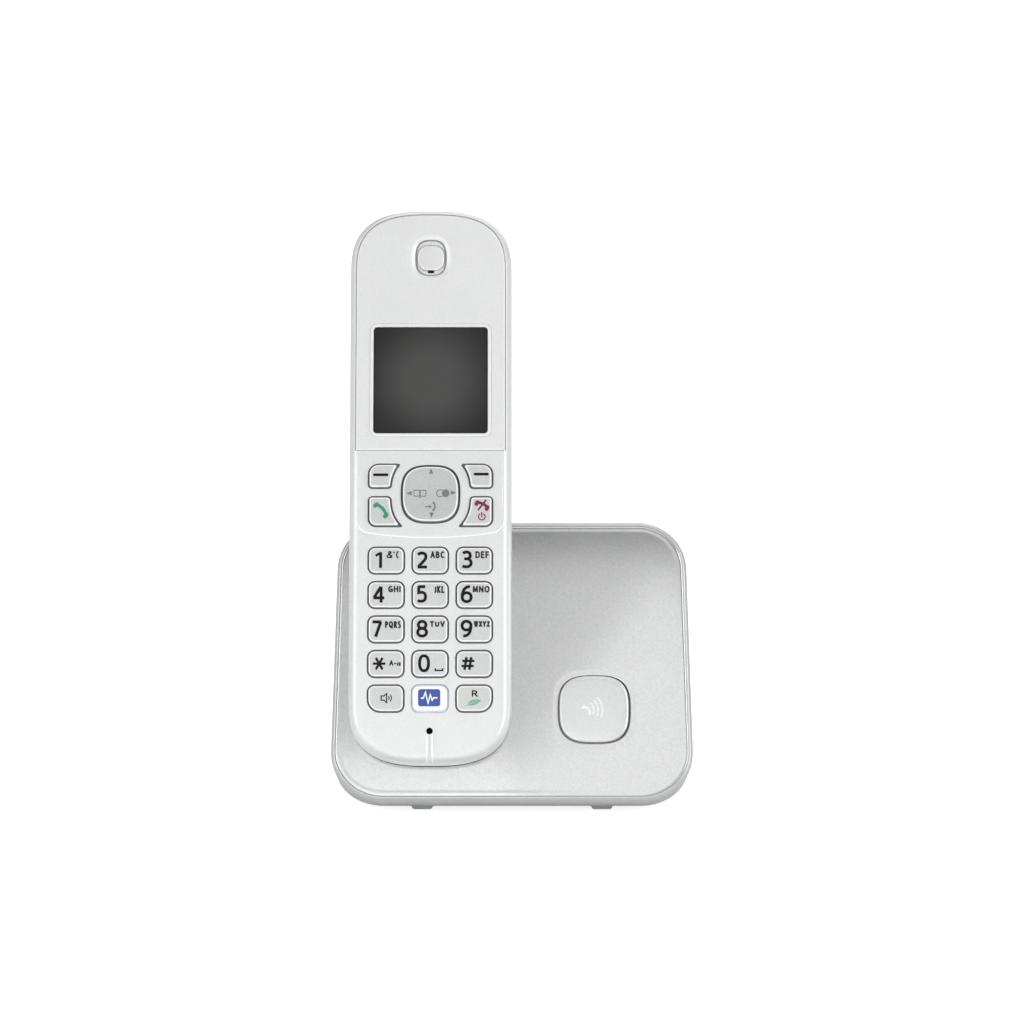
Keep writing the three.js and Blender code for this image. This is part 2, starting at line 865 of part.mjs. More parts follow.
const shellOuter = loft([
  { z: -90, points: baseOutline(0) },
  { z: -4.2, points: baseOutline(0) },
  { z: -2.2, points: baseOutline(0.0, 0.25) },
  { z: -0.8, points: baseOutline(0.35, 0.95) },
  { z: -0.1, points: baseOutline(0.9, 1.65) },
]).intersect(wedge(0));
const shellInner = loft([
  { z: -90, points: baseOutline(WALL) },
  { z: -2.6, points: baseOutline(WALL) },
]).intersect(wedge(WALL));
const rebate = prism(baseOutline(REBATE_D, REBATE_LOW), -2.65, 3);
let housing = cutBy(
  shellOuter,
  shellInner,
  rebate,
  cradle(2.25, -14.95, 3), // where the cradle runs out through the top
);
// part frame from here on
housing = moved(housing, PLATE);
const BACK_Y = BASE_DEPTH + PLATE_Y; // outer face of the rear wall
const LINE_X = 26,
  DC_X = -8,
  JACK_Z = 12.6;
const LINE_W = 10.2,
  LINE_H = 7.4;
const boardTop = 8.0;
housing = cutBy(
  housing,
  block(
    LINE_X - LINE_W / 2 - 0.4,
    LINE_X + LINE_W / 2 + 0.4,
    BACK_Y - 6,
    BACK_Y + 3,
    JACK_Z - LINE_H / 2 - 0.4,
    JACK_Z + LINE_H / 2 + 0.4,
  ),
  bar(3.6, V3(DC_X, BACK_Y - 6, JACK_Z), V3(DC_X, BACK_Y + 3, JACK_Z), 20, "y"),
);
// screw seats and recesses for the feet in the floor
for (const [X, Y] of PILLARS)
  housing = cutBy(
    housing,
    bar(1.5, V3(X, Y, 0), V3(X, Y, FLOOR_TOP + 1), 10),
    bar(3.0, V3(X, Y, 0), V3(X, Y, FOOT_H + 1.0), 14),
  );
add(root, "base_rear_housing", housing, M.housing);

for (const [i, [X, Y]] of PILLARS.entries()) {
  const g = new THREE.LatheGeometry(
    [
      V2(0, FOOT_H + 0.15),
      V2(2.4, FOOT_H + 0.15),
      V2(2.7, FOOT_H + 0.4),
      V2(2.7, FOOT_H + 0.85),
      V2(1.0, FOOT_H + 0.85),
      V2(1.0, FLOOR_TOP + 8),
      V2(0, FLOOR_TOP + 9),
    ],
    12,
  );
  g.rotateX(Math.PI / 2);
  g.translate(X, Y, 0);
  add(
    root,
    `base_screw_${i + 1}`,
    cutBy(
      solidOf(g),
      block(X - 1.3, X + 1.3, Y - 0.3, Y + 0.3, 0, FOOT_H + 0.6),
      block(X - 0.3, X + 0.3, Y - 1.3, Y + 1.3, 0, FOOT_H + 0.6),
    ),
    M.metal,
  );
}

// ---- rubber feet
const FEET = [
  ["base_foot_front_left", -25.8, PLATE_Y + 13.4, 8.0, 7.4],
  ["base_foot_front_right", 25.8, PLATE_Y + 13.4, 8.0, 7.4],
  ["base_foot_rear_left", -36, BACK_Y - 9, 12, 7],
  ["base_foot_rear_right", 36, BACK_Y - 9, 12, 7],
];
for (const [name, x, y, w, l] of FEET)
  add(
    root,
    name,
    loft([
      { z: 0, points: roundRect(x, y, w - 2.4, l - 0.8, 1.2, 3) },
      { z: 0.5, points: roundRect(x, y, w - 1.8, l - 0.4, 1.4, 3) },
      { z: FOOT_H - 0.12, points: roundRect(x, y, w, l, 1.6, 3) },
    ]),
    M.rubber,
  );

// ---- main board on the floor, with the sockets at the rear wall
add(
  root,
  "base_main_board",
  block(-44, 44, PLATE_Y + 37, BACK_Y - 3.4, boardTop - 1.6, boardTop),
  M.board,
);
add(
  root,
  "line_socket",
  block(
    LINE_X - 6.8,
    LINE_X + 6.8,
    BACK_Y - 17,
    BACK_Y - 2.5,
    boardTop + 0.15,
    JACK_Z + LINE_H / 2 + 1.6,
  ).subtract(
    block(
      LINE_X - LINE_W / 2,
      LINE_X + LINE_W / 2,
      BACK_Y - 15.2,
      BACK_Y,
      JACK_Z - LINE_H / 2,
      JACK_Z + LINE_H / 2,
    ),
  ),
  M.black,
);
add(
  root,
  "power_socket",
  unionOf(
    block(DC_X - 4.6, DC_X + 4.6, BACK_Y - 16, BACK_Y - 2.5, boardTop + 0.15, JACK_Z + 4.6).subtract(
      bar(3.2, V3(DC_X, BACK_Y - 13, JACK_Z), V3(DC_X, BACK_Y, JACK_Z), 20, "y"),
    ),
    bar(1.0, V3(DC_X, BACK_Y - 14, JACK_Z), V3(DC_X, BACK_Y - 5, JACK_Z), 10, "y"),
  ),
  M.black,
);
add(
  root,
  "radio_shield",
  block(-41, -17, PLATE_Y + 39, PLATE_Y + 57, boardTop + 0.15, boardTop + 3.2),
  M.metal,
);
add(
  root,
  "capacitor",
  bar(4, V3(9, BACK_Y - 16, boardTop + 0.2), V3(9, BACK_Y - 16, boardTop + 11), 14),
  M.black,
);
add(
  root,
  "antenna_plate",
  unionOf(
    block(30, 42, PLATE_Y + 40, PLATE_Y + 40.8, boardTop + 0.15, boardTop + 9),
    block(30, 31.6, PLATE_Y + 40, PLATE_Y + 47, boardTop + 7.6, boardTop + 9),
  ),
  M.metal,
);

export default root;
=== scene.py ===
import json
import math

import bpy
import numpy as np
from mathutils import Matrix, Vector

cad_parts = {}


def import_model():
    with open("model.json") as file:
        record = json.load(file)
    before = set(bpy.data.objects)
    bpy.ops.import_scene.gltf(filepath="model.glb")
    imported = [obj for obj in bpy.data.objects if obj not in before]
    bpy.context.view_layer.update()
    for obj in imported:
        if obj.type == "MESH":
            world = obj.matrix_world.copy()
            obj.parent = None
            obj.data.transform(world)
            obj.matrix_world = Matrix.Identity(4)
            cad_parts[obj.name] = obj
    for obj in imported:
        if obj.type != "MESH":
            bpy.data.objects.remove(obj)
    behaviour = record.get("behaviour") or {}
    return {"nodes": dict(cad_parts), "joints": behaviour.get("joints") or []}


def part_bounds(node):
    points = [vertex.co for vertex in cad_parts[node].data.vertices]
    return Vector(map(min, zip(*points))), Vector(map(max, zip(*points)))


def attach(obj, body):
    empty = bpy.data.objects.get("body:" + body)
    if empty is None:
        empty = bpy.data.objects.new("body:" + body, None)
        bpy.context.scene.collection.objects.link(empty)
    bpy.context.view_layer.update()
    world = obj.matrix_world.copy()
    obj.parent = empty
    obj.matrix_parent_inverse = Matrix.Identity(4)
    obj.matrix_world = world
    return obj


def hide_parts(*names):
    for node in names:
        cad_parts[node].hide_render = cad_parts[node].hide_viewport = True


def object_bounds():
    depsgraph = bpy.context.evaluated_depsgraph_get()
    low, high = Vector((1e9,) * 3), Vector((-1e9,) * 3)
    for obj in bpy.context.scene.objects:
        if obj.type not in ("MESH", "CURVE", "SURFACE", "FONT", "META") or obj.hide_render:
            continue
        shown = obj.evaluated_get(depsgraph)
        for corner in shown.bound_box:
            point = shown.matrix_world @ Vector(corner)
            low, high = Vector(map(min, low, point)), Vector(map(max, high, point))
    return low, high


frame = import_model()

CAD_BOX = [list(map(float, v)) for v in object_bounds()]
NODES = frame["nodes"]
JOINTS = {j["name"]: j for j in frame["joints"]}
SCENE = bpy.context.scene
MM = 0.001

# ---------------------------------------------------------------- the plate's frame, read from the CAD
# x to the right, y up the slope, z out of it. The handset's own frame is the same, shifted to its lower tip.
OUT = -np.array(Vector(JOINTS["key_5_press"]["axis"]).normalized())
UP = np.array(Vector(JOINTS["handset_lift"]["axis"]).normalized())
RIGHT = np.cross(UP, OUT)
AXES = np.stack([RIGHT, UP, OUT])
PART_Z = 5.0  # parting plane of the handset above the plate


def plate_box(node):
    """Lowest and highest corner of a CAD node along the plate's axes, in mm from ORIGIN."""
    co = np.array([v.co for v in NODES[node].data.vertices], float) * 1000 @ AXES.T
    return co.min(0) - ORIGIN, co.max(0) - ORIGIN


ORIGIN = np.zeros(3)
_lo, _hi = plate_box("handset_rear_cover")
_blo, _bhi = plate_box("base_front_cover")
# the front cover's plate is 2.35 in from the base's lower edge, its top is 8 below the handset's face
ORIGIN = np.array([0.0, _lo[1] - 10.3, _hi[2] - PART_Z])
_lo, _hi = plate_box("handset_rear_cover")
HX, HY = (_lo[0] + _hi[0]) / 2, _lo[1]
HS_W, HS_L = _hi[0] - _lo[0], _hi[1] - _lo[1]
PLATE_AT = ORIGIN @ AXES  # the origin of the plate's frame, in mm in the part's frame
TO_WORLD = AXES  # rows


def world(p, handset=False):
    """Plate or handset millimetres to metres in the row frame."""
    p = np.asarray(p, float).reshape(-1, 3).copy()
    if handset:
        p[:, 0] += HX
        p[:, 1] += HY
    return (p @ AXES + PLATE_AT) * MM


def to_plate(y, z):
    """Part (Y, Z) in mm to plate (y, z)."""
    v = np.array([0.0, y, z]) - PLATE_AT
    return float(v @ UP), float(v @ OUT)


# ---------------------------------------------------------------- mesh data: vertices, faces and material indices
class Shape:
    def __init__(self):
        self.v, self.f, self.m = [], [], []

    def add(self, pts):
        i = len(self.v)
        self.v.extend(map(tuple, np.asarray(pts, float)))
        return i

    def face(self, f, m=0):
        self.f.append(tuple(f))
        self.m.append(m)

    def strip(self, a, b, n, m=0, closed=True):
        for j in range(n if closed else n - 1):
            k = (j + 1) % n
            self.face((a + j, a + k, b + k, b + j), m)

    def join(self, other, m_shift=0):
        o = len(self.v)
        self.v.extend(other.v)
        self.f.extend(tuple(i + o for i in f) for f in other.f)
        self.m.extend(i + m_shift for i in other.m)
        return self

    def paint(self, m):
        self.m = [m] * len(self.f)
        return self


def ring3(points, z):
    p = np.asarray(points, float)
    zz = np.full(len(p), float(z)) if np.isscalar(z) else np.asarray(z, float)
    return np.column_stack([p[:, 0], p[:, 1], zz])


def loft(levels, mats=None, caps=(True, True)):
    """Rings of (points, z), counter-clockwise seen from +z, from the lowest up."""
    s = Shape()
    n = len(levels[0][0])
    at = [s.add(ring3(p, z)) for p, z in levels]
    if caps[0]:
        s.face([at[0] + j for j in range(n)][::-1], mats[0] if mats else 0)
    for i in range(len(levels) - 1):
        s.strip(at[i], at[i + 1], n, mats[i] if mats else 0)
    if caps[1]:
        s.face([at[-1] + j for j in range(n)], mats[-1] if mats else 0)
    return s


def prism(points, z0, z1, m=0):
    return loft([(points, z0), (points, z1)], [m, m])


def block(x0, x1, y0, y1, z0, z1, m=0):
    return prism([(x0, y0), (x1, y0), (x1, y1), (x0, y1)], z0, z1, m)


def rotated(shape, matrix):
    """shape with its vertices put through a 3 x 4 or 4 x 4 matrix."""
    a = np.array(matrix, float)
    v = np.asarray(shape.v) @ a[:3, :3].T + a[:3, 3]
    shape.v = list(map(tuple, v))
    return shape


# ---------------------------------------------------------------- outlines, in mm
def arc(cx, cy, rx, ry, a0, a1, n):
    t = np.radians(np.linspace(a0, a1, n))
    return np.column_stack([cx + rx * np.cos(t), cy + ry * np.sin(t)])


def round_rect(cx, cy, w, h, radii, seg=9):
    bl, br, tr, tl = radii if np.ndim(radii) else (radii,) * 4
    x0, x1, y0, y1 = cx - w / 2, cx + w / 2, cy - h / 2, cy + h / 2
    return np.vstack(
        [
            arc(x0 + bl, y0 + bl, bl, bl, 180, 270, seg),
            arc(x1 - br, y0 + br, br, br, 270, 360, seg),
            arc(x1 - tr, y1 - tr, tr, tr, 0, 90, seg),
            arc(x0 + tl, y1 - tl, tl, tl, 90, 180, seg),
        ]
    )


def super_t(a, b, power, count):
    """Parameters of a superellipse whose points lie evenly along it."""
    t = np.linspace(0, 2 * np.pi, 8001)
    c, s = np.cos(t), np.sin(t)
    x = a * np.sign(c) * np.abs(c) ** (2 / power)
    y = b * np.sign(s) * np.abs(s) ** (2 / power)
    length = np.concatenate([[0], np.cumsum(np.hypot(np.diff(x), np.diff(y)))])
    return np.interp((np.arange(count) + 0.5) / count * length[-1], length, t)


_T = {}


def superellipse(cx, cy, a, b, power, count=96):
    key = (power, count)
    if key not in _T:
        _T[key] = super_t(a, b, power, count)
    t = _T[key]
    c, s = np.cos(t), np.sin(t)
    return np.column_stack(
        [
            cx + a * np.sign(c) * np.abs(c) ** (2 / power),
            cy + b * np.sign(s) * np.abs(s) ** (2 / power),
        ]
    )


HS_END, HS_N = 19.0, 2.8


def end_t(count, extra=()):
    """Parameters from 0 to pi over one rounded end, evenly along it, with some x positions added."""
    t = np.linspace(0, np.pi, 8001)
    c, s = np.cos(t), np.sin(t)
    x = HS_W / 2 * np.sign(c) * np.abs(c) ** (2 / HS_N)
    y = HS_END * np.abs(s) ** (2 / HS_N)
    length = np.concatenate([[0], np.cumsum(np.hypot(np.diff(x), np.diff(y)))])
    u = np.interp(np.linspace(0, length[-1], count), length, t)
    if len(extra):
        e = np.array([v for v in extra])
        te = np.arccos(np.sign(e) * (np.abs(e) / (HS_W / 2)) ** (HS_N / 2))
        u = u[np.min(np.abs(u[:, None] - te[None, :]), axis=1) > 0.012]
        u = np.sort(np.concatenate([u, te]))
    return u


RIB_X = (-1.45, -1.2, -1.05, -0.9, -0.75, -0.6, -0.45, -0.3, 0.3, 0.45, 0.6, 0.75, 0.9, 1.05, 1.2, 1.45)
T_END = end_t(85)
T_LOW = end_t(85, RIB_X)


def end_points(a, b, t):
    c, s = np.cos(t), np.sin(t)
    return (
        a * np.sign(c) * np.abs(c) ** (2 / HS_N),
        b * np.sign(s) * np.abs(s) ** (2 / HS_N),
    )


def handset_ring(d, top=None, rows=34, foot=None):
    """The handset's outline drawn in by d, by top at its upper end and by foot at its lower end. In handset coordinates."""
    top = d if top is None else top
    foot = d if foot is None else foot
    a, b = HS_W / 2 - d, HS_END - d
    low, high = foot + b, HS_L - top - b
    xl, yl = end_points(a, b, T_LOW)
    xh, yh = end_points(a, b, T_END)
    side = np.linspace(low, high, rows + 2)[1:-1]
    return np.vstack(
        [
            np.column_stack([-xl, low - yl]),
            np.column_stack([np.full(rows, a), side]),
            np.column_stack([xh, high + yh]),
            np.column_stack([np.full(rows, -a), side[::-1]]),
        ]
    )


SEAM_Y = 89.5


def fascia_ring(d, rows=14, across=15):
    """The upper panel's outline drawn in by d: the handset's outline, closed by the seam."""
    a, b = HS_W / 2 - 1.95 - d, HS_END - 1.95 - d
    high, y0 = HS_L - 2.05 - d - b, SEAM_Y + d * (1 if d > 0 else 0.4)
    xh, yh = end_points(a, b, T_END)
    side = np.linspace(y0, high, rows + 1)[:-1]
    foot = np.linspace(-a, a, across + 2)[1:-1]
    return np.vstack(
        [
            np.column_stack([foot, np.full(across, y0)]),
            np.column_stack([np.full(rows, a), side]),
            np.column_stack([xh, high + yh]),
            np.column_stack([np.full(rows, -a), side[::-1]]),
        ]
    )


def spline(points, steps):
    """A smooth curve through points, which never overshoots in either coordinate."""
    p = np.asarray(points, float)
    n = len(p)
    s = np.concatenate([[0], np.cumsum(np.hypot(*np.diff(p, axis=0).T))])
    out = []
    for k in range(p.shape[1]):
        h, dlt = np.diff(s), np.diff(p[:, k]) / np.diff(s)
        m = np.zeros(n)
        for i in range(1, n - 1):
            if dlt[i - 1] * dlt[i] > 0:
                w1, w2 = 2 * h[i] + h[i - 1], h[i] + 2 * h[i - 1]
                m[i] = (w1 + w2) / (w1 / dlt[i - 1] + w2 / dlt[i])
        m[0], m[-1] = dlt[0], dlt[-1]
        q = []
        for i in range(n - 1):
            t = np.linspace(0, 1, steps + 1)[: steps + (i == n - 2)]
            q.append(
                (2 * t**3 - 3 * t**2 + 1) * p[i, k]
                + (t**3 - 2 * t**2 + t) * h[i] * m[i]
                + (-2 * t**3 + 3 * t**2) * p[i + 1, k]
                + (t**3 - t**2) * h[i] * m[i + 1]
            )
        out.append(np.concatenate(q))
    return np.column_stack(out)


def base_ring(d, low=None, seg=22, rows=None):
    """The base's outline drawn in by d at the sides and top and by low at the bottom. In plate coordinates."""
    low = d if low is None else low
    xl, xt = BASE_W / 2 - R_LOW, TOP_W / 2 - R_TOP
    yt = BASE_H - R_TOP
    rows = SIDE_ROWS if rows is None else rows
    right = np.column_stack(
        [
            np.interp(rows, [R_LOW, yt], [BASE_W / 2 - d, TOP_W / 2 - d]),
            rows,
        ]
    )
    foot = np.linspace(-xl, xl, 13)[1:-1]
    head = np.linspace(xt, -xt, 13)[1:-1]
    return np.vstack(
        [
            arc(-xl, R_LOW, R_LOW - d, R_LOW - low, 180, 270, seg),
            np.column_stack([foot, np.full(11, low)]),
            arc(xl, R_LOW, R_LOW - d, R_LOW - low, 270, 360, seg),
            right,
            arc(xt, yt, R_TOP - d, R_TOP - d, 0, 90, seg),
            np.column_stack([head, np.full(11, BASE_H - d)]),
            arc(-xt, yt, R_TOP - d, R_TOP - d, 90, 180, seg),
            right[::-1] * [-1, 1],
        ]
    )


_lo, _hi = plate_box("base_rear_housing")
BASE_W = _hi[0] - _lo[0]
BASE_H = _hi[1]
TOP_W, R_LOW, R_TOP, WALL = BASE_W - 3.0, 15.0, 14.0, 2.2
_flo, _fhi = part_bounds("base_rear_housing")
BACK_Y, FLOOR_Z = _fhi.y * 1000, _flo.z * 1000  # rear wall and underside, in mm in the part's frame


# ---------------------------------------------------------------- objects
def mesh_of(shape, name="m"):
    me = bpy.data.meshes.new(name)
    me.from_pydata([tuple(p) for p in shape.v], [], shape.f)
    me.polygons.foreach_set("material_index", np.array(shape.m, np.int32))
    me.update()
    return me


def shape_of(me):
    s = Shape()
    co = np.zeros(len(me.vertices) * 3)
    me.vertices.foreach_get("co", co)
    s.v = list(map(tuple, co.reshape(-1, 3)))
    s.f = [tuple(p.vertices) for p in me.polygons]
    s.m = [p.material_index for p in me.polygons]
    return s


DUMMY = [bpy.data.materials.new(f"slot_{i}") for i in range(6)]


def csg(shape, *ops):
    """shape with ("-", tool), ("+", tool) or ("&", tool) done to it, in order. All are closed and in mm."""
    names = {"-": "DIFFERENCE", "+": "UNION", "&": "INTERSECT"}

    def temp(s):
        me = mesh_of(s)
        for d in DUMMY:
            me.materials.append(d)
        o = bpy.data.objects.new("tmp", me)
        SCENE.collection.objects.link(o)
        return o

    base = temp(shape)
    for op, tool in ops:
        t = temp(tool)
        mod = base.modifiers.new("b", "BOOLEAN")
        mod.object, mod.operation, mod.solver = t, names[op], "MANIFOLD"
        mod.material_mode = "INDEX"
        dg = bpy.context.evaluated_depsgraph_get()
        out = bpy.data.meshes.new_from_object(base.evaluated_get(dg))
        if not len(out.polygons) or len(out.polygons) == len(base.data.polygons) and op == "-":
            mod.solver = "EXACT"
            dg = bpy.context.evaluated_depsgraph_get()
            out = bpy.data.meshes.new_from_object(base.evaluated_get(dg))
            print("CSG exact", len(out.polygons))
        base.modifiers.clear()
        old = base.data
        base.data = out
        bpy.data.meshes.remove(old)
        me = t.data
        bpy.data.objects.remove(t)
        bpy.data.meshes.remove(me)
    s = shape_of(base.data)
    me = base.data
    bpy.data.objects.remove(base)
    bpy.data.meshes.remove(me)
    return s


def make(name, shape, mats, body, replaces=(), space="plate", sharp=32, weighted=True, smooth=True):
    """A piece from a shape in plate, handset or part millimetres, riding on a CAD body."""
    v = np.asarray(shape.v, float)
    if space == "part":
        v = v * MM
    else:
        v = world(v, handset=space == "handset")
    me = bpy.data.meshes.new(name)
    me.from_pydata([tuple(p) for p in v], [], shape.f)
    for m in mats:
        me.materials.append(m)
    me.polygons.foreach_set("material_index", np.array(shape.m, np.int32))
    me.polygons.foreach_set("use_smooth", np.full(len(me.polygons), smooth))
    me.validate()
    me.update()
    if smooth:
        me.set_sharp_from_angle(angle=math.radians(sharp))
    o = bpy.data.objects.new(name, me)
    SCENE.collection.objects.link(o)
    if weighted and smooth:
        w = o.modifiers.new("weighted", "WEIGHTED_NORMAL")
        w.mode, w.weight, w.keep_sharp = "FACE_AREA", 50, True
    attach(o, body)
    if replaces:
        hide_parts(*replaces)
    return o


# ---------------------------------------------------------------- materials
def material(name):
    m = bpy.data.materials.new(name)
    m.use_nodes = True
    nt = m.node_tree
    return m, nt, nt.nodes["Principled BSDF"]


def node(nt, kind, **values):
    n = nt.nodes.new(kind)
    for k, v in values.items():
        if k.startswith("in_"):
            key = k[3:]
            n.inputs[int(key) if key.isdigit() else key].default_value = v
        else:
            setattr(n, k, v)
    return n


def rgba(c):
    return (c, c, c, 1.0) if np.isscalar(c) else (*c, 1.0)


def plastic(name, color, rough=0.4, metal=0.0, coat=0.0, coat_rough=0.1, flake=0.0, flake_size=0.28, cloud=0.02,
            peel=0.03, peel_size=0.8, rough_var=0.05, sheen=0.0, specular=0.5, transmission=0.0, ior=1.5, grain=0.0, grain_size=0.35):
    """Moulded or painted plastic: slow clouds and fine flake in the colour, uneven gloss, and an orange-peel or grained skin.
    Sizes are in mm."""
    m, nt, b = material(name)
    b.inputs["Metallic"].default_value = metal
    b.inputs["Coat Weight"].default_value = coat
    b.inputs["Coat Roughness"].default_value = coat_rough
    b.inputs["Specular IOR Level"].default_value = specular
    b.inputs["IOR"].default_value = ior
    b.inputs["Transmission Weight"].default_value = transmission
    if sheen:
        b.inputs["Sheen Weight"].default_value = sheen
    tc = node(nt, "ShaderNodeTexCoord")
    clouds = node(nt, "ShaderNodeTexNoise", in_Scale=1000 / 18, in_Detail=2.0)
    nt.links.new(tc.outputs["Object"], clouds.inputs["Vector"])
    ramp = node(nt, "ShaderNodeMapRange", in_1=0.3, in_2=0.7, in_3=1 - cloud, in_4=1 + cloud)
    nt.links.new(clouds.outputs["Fac"], ramp.inputs[0])
    value = ramp.outputs[0]
    if flake:
        grains = node(nt, "ShaderNodeTexVoronoi", feature="F1", in_Scale=1000 / flake_size)
        nt.links.new(tc.outputs["Object"], grains.inputs["Vector"])
        sep = node(nt, "ShaderNodeSeparateColor")
        nt.links.new(grains.outputs["Color"], sep.inputs[0])
        lift = node(nt, "ShaderNodeMapRange", in_1=0.0, in_2=1.0, in_3=1 - flake, in_4=1 + flake)
        nt.links.new(sep.outputs[0], lift.inputs[0])
        mul = node(nt, "ShaderNodeMath", operation="MULTIPLY")
        nt.links.new(value, mul.inputs[0])
        nt.links.new(lift.outputs[0], mul.inputs[1])
        value = mul.outputs[0]
        rv = node(nt, "ShaderNodeMapRange", in_1=0.0, in_2=1.0, in_3=max(rough - rough_var, 0.03), in_4=rough + rough_var)
        nt.links.new(sep.outputs[1], rv.inputs[0])
    else:
        rv = node(nt, "ShaderNodeMapRange", in_1=0.3, in_2=0.7, in_3=max(rough - rough_var, 0.03), in_4=rough + rough_var)
        nt.links.new(clouds.outputs["Fac"], rv.inputs[0])
    nt.links.new(rv.outputs[0], b.inputs["Roughness"])
    col = node(nt, "ShaderNodeVectorMath", operation="SCALE")
    col.inputs[0].default_value = rgba(color)[:3]
    nt.links.new(value, col.inputs["Scale"])
    nt.links.new(col.outputs[0], b.inputs["Base Color"])
    height = None
    if peel:
        p = node(nt, "ShaderNodeTexNoise", in_Scale=1000 / peel_size, in_Detail=1.0)
        nt.links.new(tc.outputs["Object"], p.inputs["Vector"])
        bump = node(nt, "ShaderNodeBump", in_Strength=peel, in_Distance=0.0002)
        nt.links.new(p.outputs["Fac"], bump.inputs["Height"])
        height = bump
    if grain:
        g = node(nt, "ShaderNodeTexVoronoi", feature="F1", in_Scale=1000 / grain_size)
        nt.links.new(tc.outputs["Object"], g.inputs["Vector"])
        bump2 = node(nt, "ShaderNodeBump", in_Strength=grain, in_Distance=0.00008)
        nt.links.new(g.outputs["Distance"], bump2.inputs["Height"])
        if height:
            nt.links.new(height.outputs["Normal"], bump2.inputs["Normal"])
        height = bump2
    if height:
        nt.links.new(height.outputs["Normal"], b.inputs["Normal"])
    return m


def metal(name, color, rough=0.25, brush=(1, 60, 1), strength=0.08):
    """Plated or drawn metal with fine marks along one direction."""
    m, nt, b = material(name)
    b.inputs["Metallic"].default_value = 1.0
    tc = node(nt, "ShaderNodeTexCoord")
    mp = node(nt, "ShaderNodeMapping")
    mp.inputs["Scale"].default_value = [s * 60 for s in brush]
    nt.links.new(tc.outputs["Object"], mp.inputs["Vector"])
    n = node(nt, "ShaderNodeTexNoise", in_Scale=1.0, in_Detail=3.0)
    nt.links.new(mp.outputs[0], n.inputs["Vector"])
    rv = node(nt, "ShaderNodeMapRange", in_1=0.3, in_2=0.7, in_3=rough * 0.75, in_4=rough * 1.3)
    nt.links.new(n.outputs["Fac"], rv.inputs[0])
    nt.links.new(rv.outputs[0], b.inputs["Roughness"])
    lift = node(nt, "ShaderNodeMapRange", in_1=0.3, in_2=0.7, in_3=0.92, in_4=1.05)
    nt.links.new(n.outputs["Fac"], lift.inputs[0])
    col = node(nt, "ShaderNodeVectorMath", operation="SCALE")
    col.inputs[0].default_value = rgba(color)[:3]
    nt.links.new(lift.outputs[0], col.inputs["Scale"])
    nt.links.new(col.outputs[0], b.inputs["Base Color"])
    bump = node(nt, "ShaderNodeBump", in_Strength=strength, in_Distance=0.0001)
    nt.links.new(n.outputs["Fac"], bump.inputs["Height"])
    nt.links.new(bump.outputs["Normal"], b.inputs["Normal"])
    return m


PEARL = (0.68, 0.687, 0.685)
M_SHELL = plastic("pearl_white", PEARL, rough=0.36, metal=0.12, coat=0.35, coat_rough=0.16, flake=0.035, cloud=0.012, peel=0.035)
M_FASCIA = plastic("fascia_white", (0.70, 0.707, 0.704), rough=0.38, metal=0.12, coat=0.3, coat_rough=0.18, flake=0.035, cloud=0.012, peel=0.035)
M_SILVER = plastic("silver_paint", (0.62, 0.625, 0.626), rough=0.115, metal=0.68, coat=0.15, coat_rough=0.12, flake=0.055, flake_size=0.42, cloud=0.01, peel=0.012, peel_size=1.2, rough_var=0.02)
M_HOUSING = plastic("grey_housing", (0.52, 0.527, 0.53), rough=0.36, metal=0.45, coat=0.2, coat_rough=0.22, flake=0.05, cloud=0.015, peel=0.045, grain=0.05)
M_REAR = plastic("rear_white", (0.75, 0.757, 0.757), rough=0.45, metal=0.05, flake=0.02, cloud=0.015, peel=0.06, grain=0.10)
M_KEY = plastic("key_grey", (0.55, 0.555, 0.556), rough=0.34, metal=0.10, coat=0.5, coat_rough=0.12, flake=0.05, cloud=0.02, peel=0.03)
# painted highlight: a lighter copy of the key grey, for the bevel round each key's rim
M_KEY_EDGE_HIGHLIGHT = plastic("key_edge_highlight", (0.80, 0.805, 0.805), rough=0.22, coat=0.6, coat_rough=0.06, cloud=0.02, peel=0.02)
# painted shade: near-black, for the key flanges and skirts seen down the gaps round the keys
M_KEY_SIDE_SHADE = plastic("key_side_shade", (0.16, 0.163, 0.163), rough=0.55, cloud=0.03, peel=0.05, specular=0.3)
# painted shade: a darker copy of the key grey, for the key walls and the locator button's skirt seen in the gaps
M_KEY_WALL_SHADE = plastic("key_wall_shade", (0.44, 0.445, 0.445), rough=0.5, cloud=0.03, peel=0.05, specular=0.3)
M_FRAME = plastic("frame_white", (0.70, 0.705, 0.705), rough=0.3, coat=0.4, coat_rough=0.12, cloud=0.012, peel=0.03)
M_NAV = plastic("nav_grey", (0.50, 0.506, 0.51), rough=0.36, metal=0.15, coat=0.45, coat_rough=0.14, flake=0.06, cloud=0.02, peel=0.03)
M_CLEAR = plastic("key_clear", (0.80, 0.82, 0.90), rough=0.16, coat=0.8, coat_rough=0.05, cloud=0.03, peel=0.02)
# painted highlight: white, for the navigator recess's walls and the tops of the microphone ribs
M_HIGHLIGHT_WHITE = plastic("painted_highlight_white", (0.92, 0.925, 0.92), rough=0.3, coat=0.5, coat_rough=0.12, cloud=0.012, peel=0.02)
M_TRIM = plastic("trim_chrome", (0.74, 0.745, 0.75), rough=0.3, metal=0.25, coat=0.4, coat_rough=0.1, flake=0.02, cloud=0.02, peel=0.02)
M_PAD = plastic("ear_pad", (0.68, 0.68, 0.685), rough=0.33, metal=0.1, coat=0.4, coat_rough=0.12, flake=0.03, cloud=0.02, peel=0.03)
# painted shade: grey, for the walls and floors of the gaps round the earpiece
M_EAR_GAP_SHADE = plastic("ear_gap_shade", (0.50, 0.503, 0.505), rough=0.5, cloud=0.03, peel=0.04, specular=0.3)
